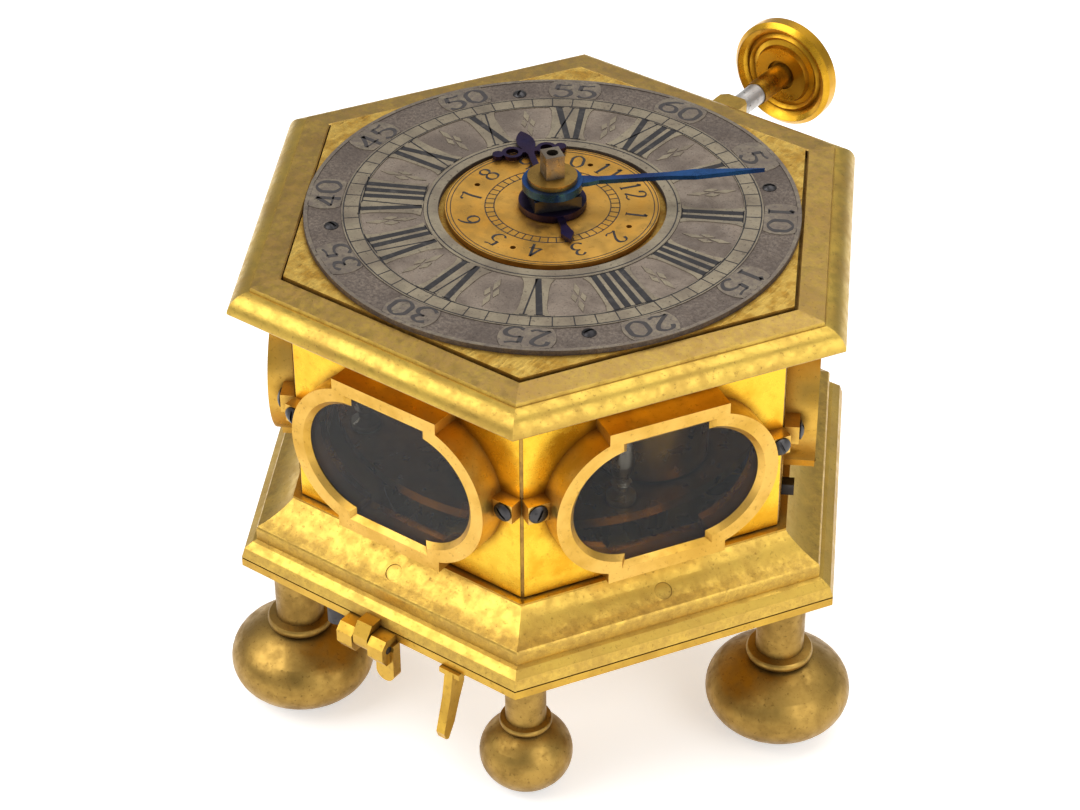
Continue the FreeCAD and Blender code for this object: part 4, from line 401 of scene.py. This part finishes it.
ZERO = ((0.30, 0.0), (0.06, 0.20), (0.03, 0.5), (0.06, 0.80), (0.30, 1.0), (0.54, 0.80),
        (0.57, 0.5), (0.54, 0.20))
SIX = ((0.52, 0.97), (0.30, 0.86), (0.12, 0.62), (0.04, 0.34), (0.10, 0.10), (0.30, 0.0),
       (0.50, 0.10), (0.56, 0.30), (0.47, 0.50), (0.30, 0.56), (0.13, 0.46))
NINE = tuple((0.60 - x, 1.0 - y) for x, y in SIX)
# Each figure: lines of (points, curved, closed) in a cell 0.6 wide and 1 high.
FIGURES = {
    "0": ((ZERO, True, True),),
    "1": ((((0.18, 0.84), (0.30, 1.0)), False, False), (((0.30, 1.0), (0.30, 0.0)), False, False),
          (((0.18, 0.0), (0.42, 0.0)), False, False)),
    "2": ((((0.06, 0.72), (0.12, 0.92), (0.30, 1.0), (0.50, 0.86), (0.46, 0.60), (0.24, 0.28),
            (0.04, 0.04)), True, False), (((0.04, 0.03), (0.24, 0.06), (0.42, 0.0), (0.58, 0.08)),
                                          True, False)),
    "3": ((((0.08, 0.84), (0.26, 1.0), (0.46, 0.88), (0.42, 0.66), (0.24, 0.56)), True, False),
          (((0.24, 0.56), (0.48, 0.50), (0.55, 0.26), (0.40, 0.04), (0.20, 0.0), (0.04, 0.12)),
           True, False)),
    "4": ((((0.42, 1.0), (0.22, 0.62), (0.02, 0.32)), True, False),
          (((0.02, 0.32), (0.58, 0.32)), False, False), (((0.42, 1.0), (0.42, 0.0)), False, False)),
    "5": ((((0.14, 0.98), (0.34, 0.94), (0.54, 1.0)), True, False),
          (((0.14, 0.98), (0.10, 0.58)), False, False),
          (((0.10, 0.58), (0.28, 0.62), (0.50, 0.50), (0.55, 0.26), (0.40, 0.04), (0.20, 0.0),
            (0.05, 0.12)), True, False)),
    "6": ((SIX, True, False),),
    "7": ((((0.04, 0.86), (0.14, 0.98), (0.34, 0.94), (0.56, 0.98)), True, False),
          (((0.56, 0.98), (0.36, 0.52), (0.24, 0.0)), True, False)),
    "8": ((((0.30, 0.54), (0.50, 0.66), (0.50, 0.88), (0.30, 1.0), (0.10, 0.88), (0.10, 0.66)),
           True, True), (((0.30, 0.54), (0.54, 0.40), (0.54, 0.12), (0.30, 0.0), (0.06, 0.12),
                          (0.06, 0.40)), True, True)),
    "9": ((NINE, True, False),),
}
HANG = {"3": 0.2, "4": 0.2, "5": 0.2, "7": 0.2, "9": 0.2, "6": -0.1, "8": -0.1}


def write_number(mesh, text, angle, radius, height, thin, thick, bottom, top, wide=1.0):
    """A number on the dial, its top outward, its middle at the given radius."""
    for place_index, figure in enumerate(text):
        shift = (place_index - (len(text) - 1) / 2) * 0.72 * wide * height
        drop = HANG.get(figure, 0.0) * height * 0.6
        for points, curved, closed in FIGURES[figure]:
            line = smooth_line(points, 6, closed) if curved else list(points)
            placed = [clock_point(angle, radius + (y - 0.5) * height - drop,
                                  (x - 0.3) * wide * height + shift) for x, y in line]
            widths = []
            for k in range(len(line)):
                before = line[k - 1] if closed or k > 0 else line[0]
                after = line[(k + 1) % len(line)] if closed or k < len(line) - 1 else line[-1]
                run = math.dist(before, after) or 1.0
                upright = abs(after[1] - before[1]) / run
                widths.append(thin + (thick - thin) * upright ** 1.5)
            stroke(mesh, placed, widths, bottom, top, closed)


ROMANS = ("XII", "I", "II", "III", "IIII", "V", "VI", "VII", "VIII", "IX", "X", "XI")
STEP = {"I": 2.1, "V": 4.4, "X": 4.4}
NUMERAL_FOOT = 24.4
NUMERAL_HEAD = 35.9
THICK = 1.25
THIN = 0.32


def roman_width(text):
    return sum(STEP[letter] for letter in text)


def write_roman(mesh, text, angle, bottom, top):
    """An hour numeral, its foot toward the hands."""
    left = -roman_width(text) / 2
    head, foot = NUMERAL_HEAD, NUMERAL_FOOT

    def line(x0, x1, width):
        slant = 0.86
        ends = (clock_point(angle, head, x0), clock_point(angle, foot, x1 * slant))
        stroke(mesh, ends, (width, width * 0.9), bottom, top)

    def serif(x, radius, length):
        ends = (clock_point(angle, radius, x - length / 2),
                clock_point(angle, radius, x + length / 2))
        stroke(mesh, ends, (0.22, 0.22), bottom, top)

    for letter in text:
        step = STEP[letter]
        middle = left + step / 2
        if letter == "I":
            line(middle, middle, THICK)
            serif(middle, head, 2.0)
            serif(middle * 0.86, foot, 1.9)
        else:
            reach = step / 2 - 0.75
            first = (middle - reach, middle)
            second = (middle + reach, middle + 0.2)
            if letter == "X":
                first = (middle - reach, middle + reach)
                second = (middle + reach, middle - reach)
            line(first[0], first[1], THICK)
            line(second[0], second[1], THIN)
            serif(middle - reach, head, 1.9)
            serif(middle + reach, head, 1.5)
            if letter == "X":
                serif((middle - reach) * 0.86, foot, 1.5)
                serif((middle + reach) * 0.86, foot, 1.9)
        left += step


# The silver ring: radii in millimetres, from the hands outwards

RING_INNER = 21.55
CELL_FOOT = 24.2
CELL_HEAD = 36.1
CELL_MIDDLE = 30.1
CELL_LENGTH = 11.9
MINUTE_HEAD = 39.7
NUMBER_RADIUS = 42.9
NUMBER_ROUND = 5.3
RIM_INNER = 46.0
RIM_OUTER = 46.75
MINUTE_LINES = (36.35, 39.3)
INNER_LINE = 23.5
LINE_HALF = 0.11
TICK_WIDTH = 0.2
SUNK = 0.05
WAX_SUNK = 0.06
# The alarm disc: each line's radius and width, the ticks and the figures
ALARM_LINES = ((19.9, 0.16), (19.2, 0.16), (12.7, 0.2), (11.0, 0.2))
ALARM_TICKS = 48
ALARM_TICK_TURN = 5.4
ALARM_NUMBER_TURN = 36
ALARM_NUMBER_RADIUS = 16.1
# The lozenges of the half hours: radius, shift across, half length
LOZENGES = ((33.1, 0.0, 2.2), (27.9, 0.0, 2.2), (30.5, 0.85, 1.5), (30.5, -0.85, 1.5))
LOZENGE_HALF = 0.62

RELIEF = 0.14
WAX = 0.03
RING_FACE = DIAL_TOP + RELIEF


def sided_cell(mesh, angle, inner, outer, half_width, bottom, top):
    """A raised cell between two radii, half_width(radius) wide each side."""
    steps = 14
    radii = [inner + (outer - inner) * k / steps for k in range(steps + 1)]
    outline = [clock_point(angle, r, half_width(r)) for r in radii]
    outline += [clock_point(angle, r, -half_width(r)) for r in reversed(radii)]
    plate(mesh, outline, bottom, top, 0.06)


def make_ring_relief():
    mesh = bmesh.new()
    bottom = DIAL_TOP - SUNK
    for inner, outer in ((RING_INNER, CELL_FOOT), (CELL_HEAD, MINUTE_HEAD), (RIM_INNER, RIM_OUTER)):
        ring(mesh, inner, outer, bottom, RING_FACE)
    for hour, text in enumerate(ROMANS):
        wide = roman_width(text) / 2 + 0.45

        def flare(radius, wide=wide):
            share = abs(2 * (radius - CELL_MIDDLE) / CELL_LENGTH)
            return wide * (0.84 + 0.16 * (radius - CELL_FOOT) / CELL_LENGTH) + 0.9 * share ** 4

        sided_cell(mesh, 30 * hour, CELL_FOOT, CELL_HEAD, flare, bottom, RING_FACE)

        def round_end(radius):
            return math.sqrt(NUMBER_ROUND ** 2 - (radius - NUMBER_RADIUS) ** 2)

        sided_cell(mesh, 30 * hour, MINUTE_HEAD, RIM_INNER, round_end, bottom, RING_FACE)
        middle = 30 * hour + 15
        for out, across, tall in LOZENGES:
            outline = [clock_point(middle, out + tall, across),
                       clock_point(middle, out, across - LOZENGE_HALF),
                       clock_point(middle, out - tall, across),
                       clock_point(middle, out, across + LOZENGE_HALF)]
            plate(mesh, outline, bottom, DIAL_TOP + 0.1, 0.05)
    return finish_piece("ring_relief", mesh, "silver", "case")


def make_ring_wax():
    mesh = bmesh.new()
    bottom = RING_FACE - WAX_SUNK
    top = RING_FACE + WAX
    for radius in (INNER_LINE,) + MINUTE_LINES:
        ring(mesh, radius - LINE_HALF, radius + LINE_HALF, bottom, top)
    for minute in range(60):
        ends = [clock_point(6 * minute, radius) for radius in MINUTE_LINES]
        stroke(mesh, ends, (TICK_WIDTH, TICK_WIDTH), bottom, top)
    for hour, text in enumerate(ROMANS):
        write_roman(mesh, text, 30 * hour, bottom, top)
        number = str(5 * hour if hour else 60)
        write_number(mesh, number, 30 * hour, NUMBER_RADIUS, 4.7, 0.36, 0.9, bottom, top, 1.38)
    return finish_piece("ring_wax", mesh, "wax", "case")


def make_alarm_wax():
    mesh = bmesh.new()
    bottom = ALARM_TOP - WAX_SUNK
    top = ALARM_TOP + WAX
    for radius, width in ALARM_LINES:
        ring(mesh, radius - width / 2, radius + width / 2, bottom, top, 160)
    outer, inner = (radius for radius, width in ALARM_LINES[2:])
    for tick in range(ALARM_TICKS):
        angle = 360 / ALARM_TICKS * tick + ALARM_TICK_TURN
        ends = (clock_point(angle, inner), clock_point(angle, outer))
        stroke(mesh, ends, (TICK_WIDTH, TICK_WIDTH), bottom, top)
    for hour in range(1, 13):
        angle = ALARM_NUMBER_TURN + 30.0 * hour
        write_number(mesh, str(hour), angle, ALARM_NUMBER_RADIUS, 4.0, 0.2, 0.55, bottom, top, 1.05)
    return finish_piece("alarm_wax", mesh, "wax", "alarm")


make_ring_relief()
make_ring_wax()
make_alarm_wax()


# Floor, light and camera

FLOOR_HALF = 4000.0
FLOOR_DEPTH = 20.0
FLOOR_TONE = 0.86
FLOOR_GLOW = 0.5
SKY_ON_THINGS = 0.45
LIGHT_AIM = (0.0, 0.0, 0.06)
CAMERA_AZIMUTH = 36.389
CAMERA_ELEVATION = 36.661
CAMERA_ROLL = -0.26
CAMERA_LENS = 98.6
CAMERA_PLACE = (0.2759, -0.3786, 0.4023)


def make_floor():
    mesh = bmesh.new()
    half = FLOOR_HALF
    plate(mesh, ((-half, -half), (half, -half), (half, half), (-half, half)), -FLOOR_DEPTH, 0.0)
    for vertex in mesh.verts:
        vertex.co *= MM
    data = bpy.data.meshes.new("floor")
    mesh.to_mesh(data)
    mesh.free()
    floor = bpy.data.objects.new("floor", data)
    bpy.context.scene.collection.objects.link(floor)
    tree = Tree("pale_floor")
    path = tree.add("LightPath")
    seen = tree.math("MAXIMUM", path.outputs["Is Camera Ray"], path.outputs["Is Glossy Ray"])
    seen = tree.math("MAXIMUM", seen, path.outputs["Is Transmission Ray"])
    tree.feed(tree.shader, Base_Color=(FLOOR_TONE, FLOOR_TONE, FLOOR_TONE, 1.0), Roughness=0.8)
    tree.feed(tree.shader, Emission_Color=(1.0, 1.0, 1.0, 1.0))
    tree.feed(tree.shader, Emission_Strength=tree.math("MULTIPLY", seen, FLOOR_GLOW))
    data.materials.append(tree.material)


def make_world():
    world = bpy.data.worlds.new("studio")
    bpy.context.scene.world = world
    world.use_nodes = True
    nodes = world.node_tree.nodes
    links = world.node_tree.links
    back = nodes["Background"]
    back.inputs["Color"].default_value = (1.0, 1.0, 1.0, 1.0)
    path = nodes.new("ShaderNodeLightPath")
    strength = nodes.new("ShaderNodeMapRange")
    strength.inputs["To Min"].default_value = SKY_ON_THINGS
    strength.inputs["To Max"].default_value = 1.0
    links.new(path.outputs["Is Camera Ray"], strength.inputs["Value"])
    links.new(strength.outputs["Result"], back.inputs["Strength"])


def make_light(name, place, size, power):
    data = bpy.data.lights.new(name, "AREA")
    data.shape = "RECTANGLE"
    data.size = size[0]
    data.size_y = size[1]
    data.energy = power
    lamp = bpy.data.objects.new(name, data)
    lamp.location = place
    aim = Vector(LIGHT_AIM) - Vector(place)
    lamp.rotation_euler = aim.to_track_quat("-Z", "Y").to_euler()
    bpy.context.scene.collection.objects.link(lamp)


def make_camera():
    azimuth = math.radians(CAMERA_AZIMUTH)
    elevation = math.radians(CAMERA_ELEVATION)
    roll = math.radians(CAMERA_ROLL)
    back = Vector((math.sin(azimuth) * math.cos(elevation),
                   -math.cos(azimuth) * math.cos(elevation), math.sin(elevation)))
    right = Vector((math.cos(azimuth), math.sin(azimuth), 0.0))
    up = back.cross(right)
    across = right * math.cos(roll) + up * math.sin(roll)
    upward = up * math.cos(roll) - right * math.sin(roll)
    data = bpy.data.cameras.new("camera")
    data.lens = CAMERA_LENS
    data.sensor_width = 36.0
    data.clip_start = 0.01
    camera = bpy.data.objects.new("camera", data)
    turn = Matrix((across, upward, back)).transposed().to_4x4()
    camera.matrix_world = Matrix.Translation(Vector(CAMERA_PLACE)) @ turn
    bpy.context.scene.collection.objects.link(camera)
    bpy.context.scene.camera = camera


make_floor()
make_world()
make_light("key", (-0.55, -0.6, 0.9), (1.0, 1.0), 9.0)
make_light("side", (0.9, -0.2, 0.5), (0.6, 0.9), 4.0)
make_light("top", (0.1, 0.5, 1.2), (1.2, 0.9), 7.0)
make_camera()
bpy.context.scene.view_settings.view_transform = "Standard"

write_size()
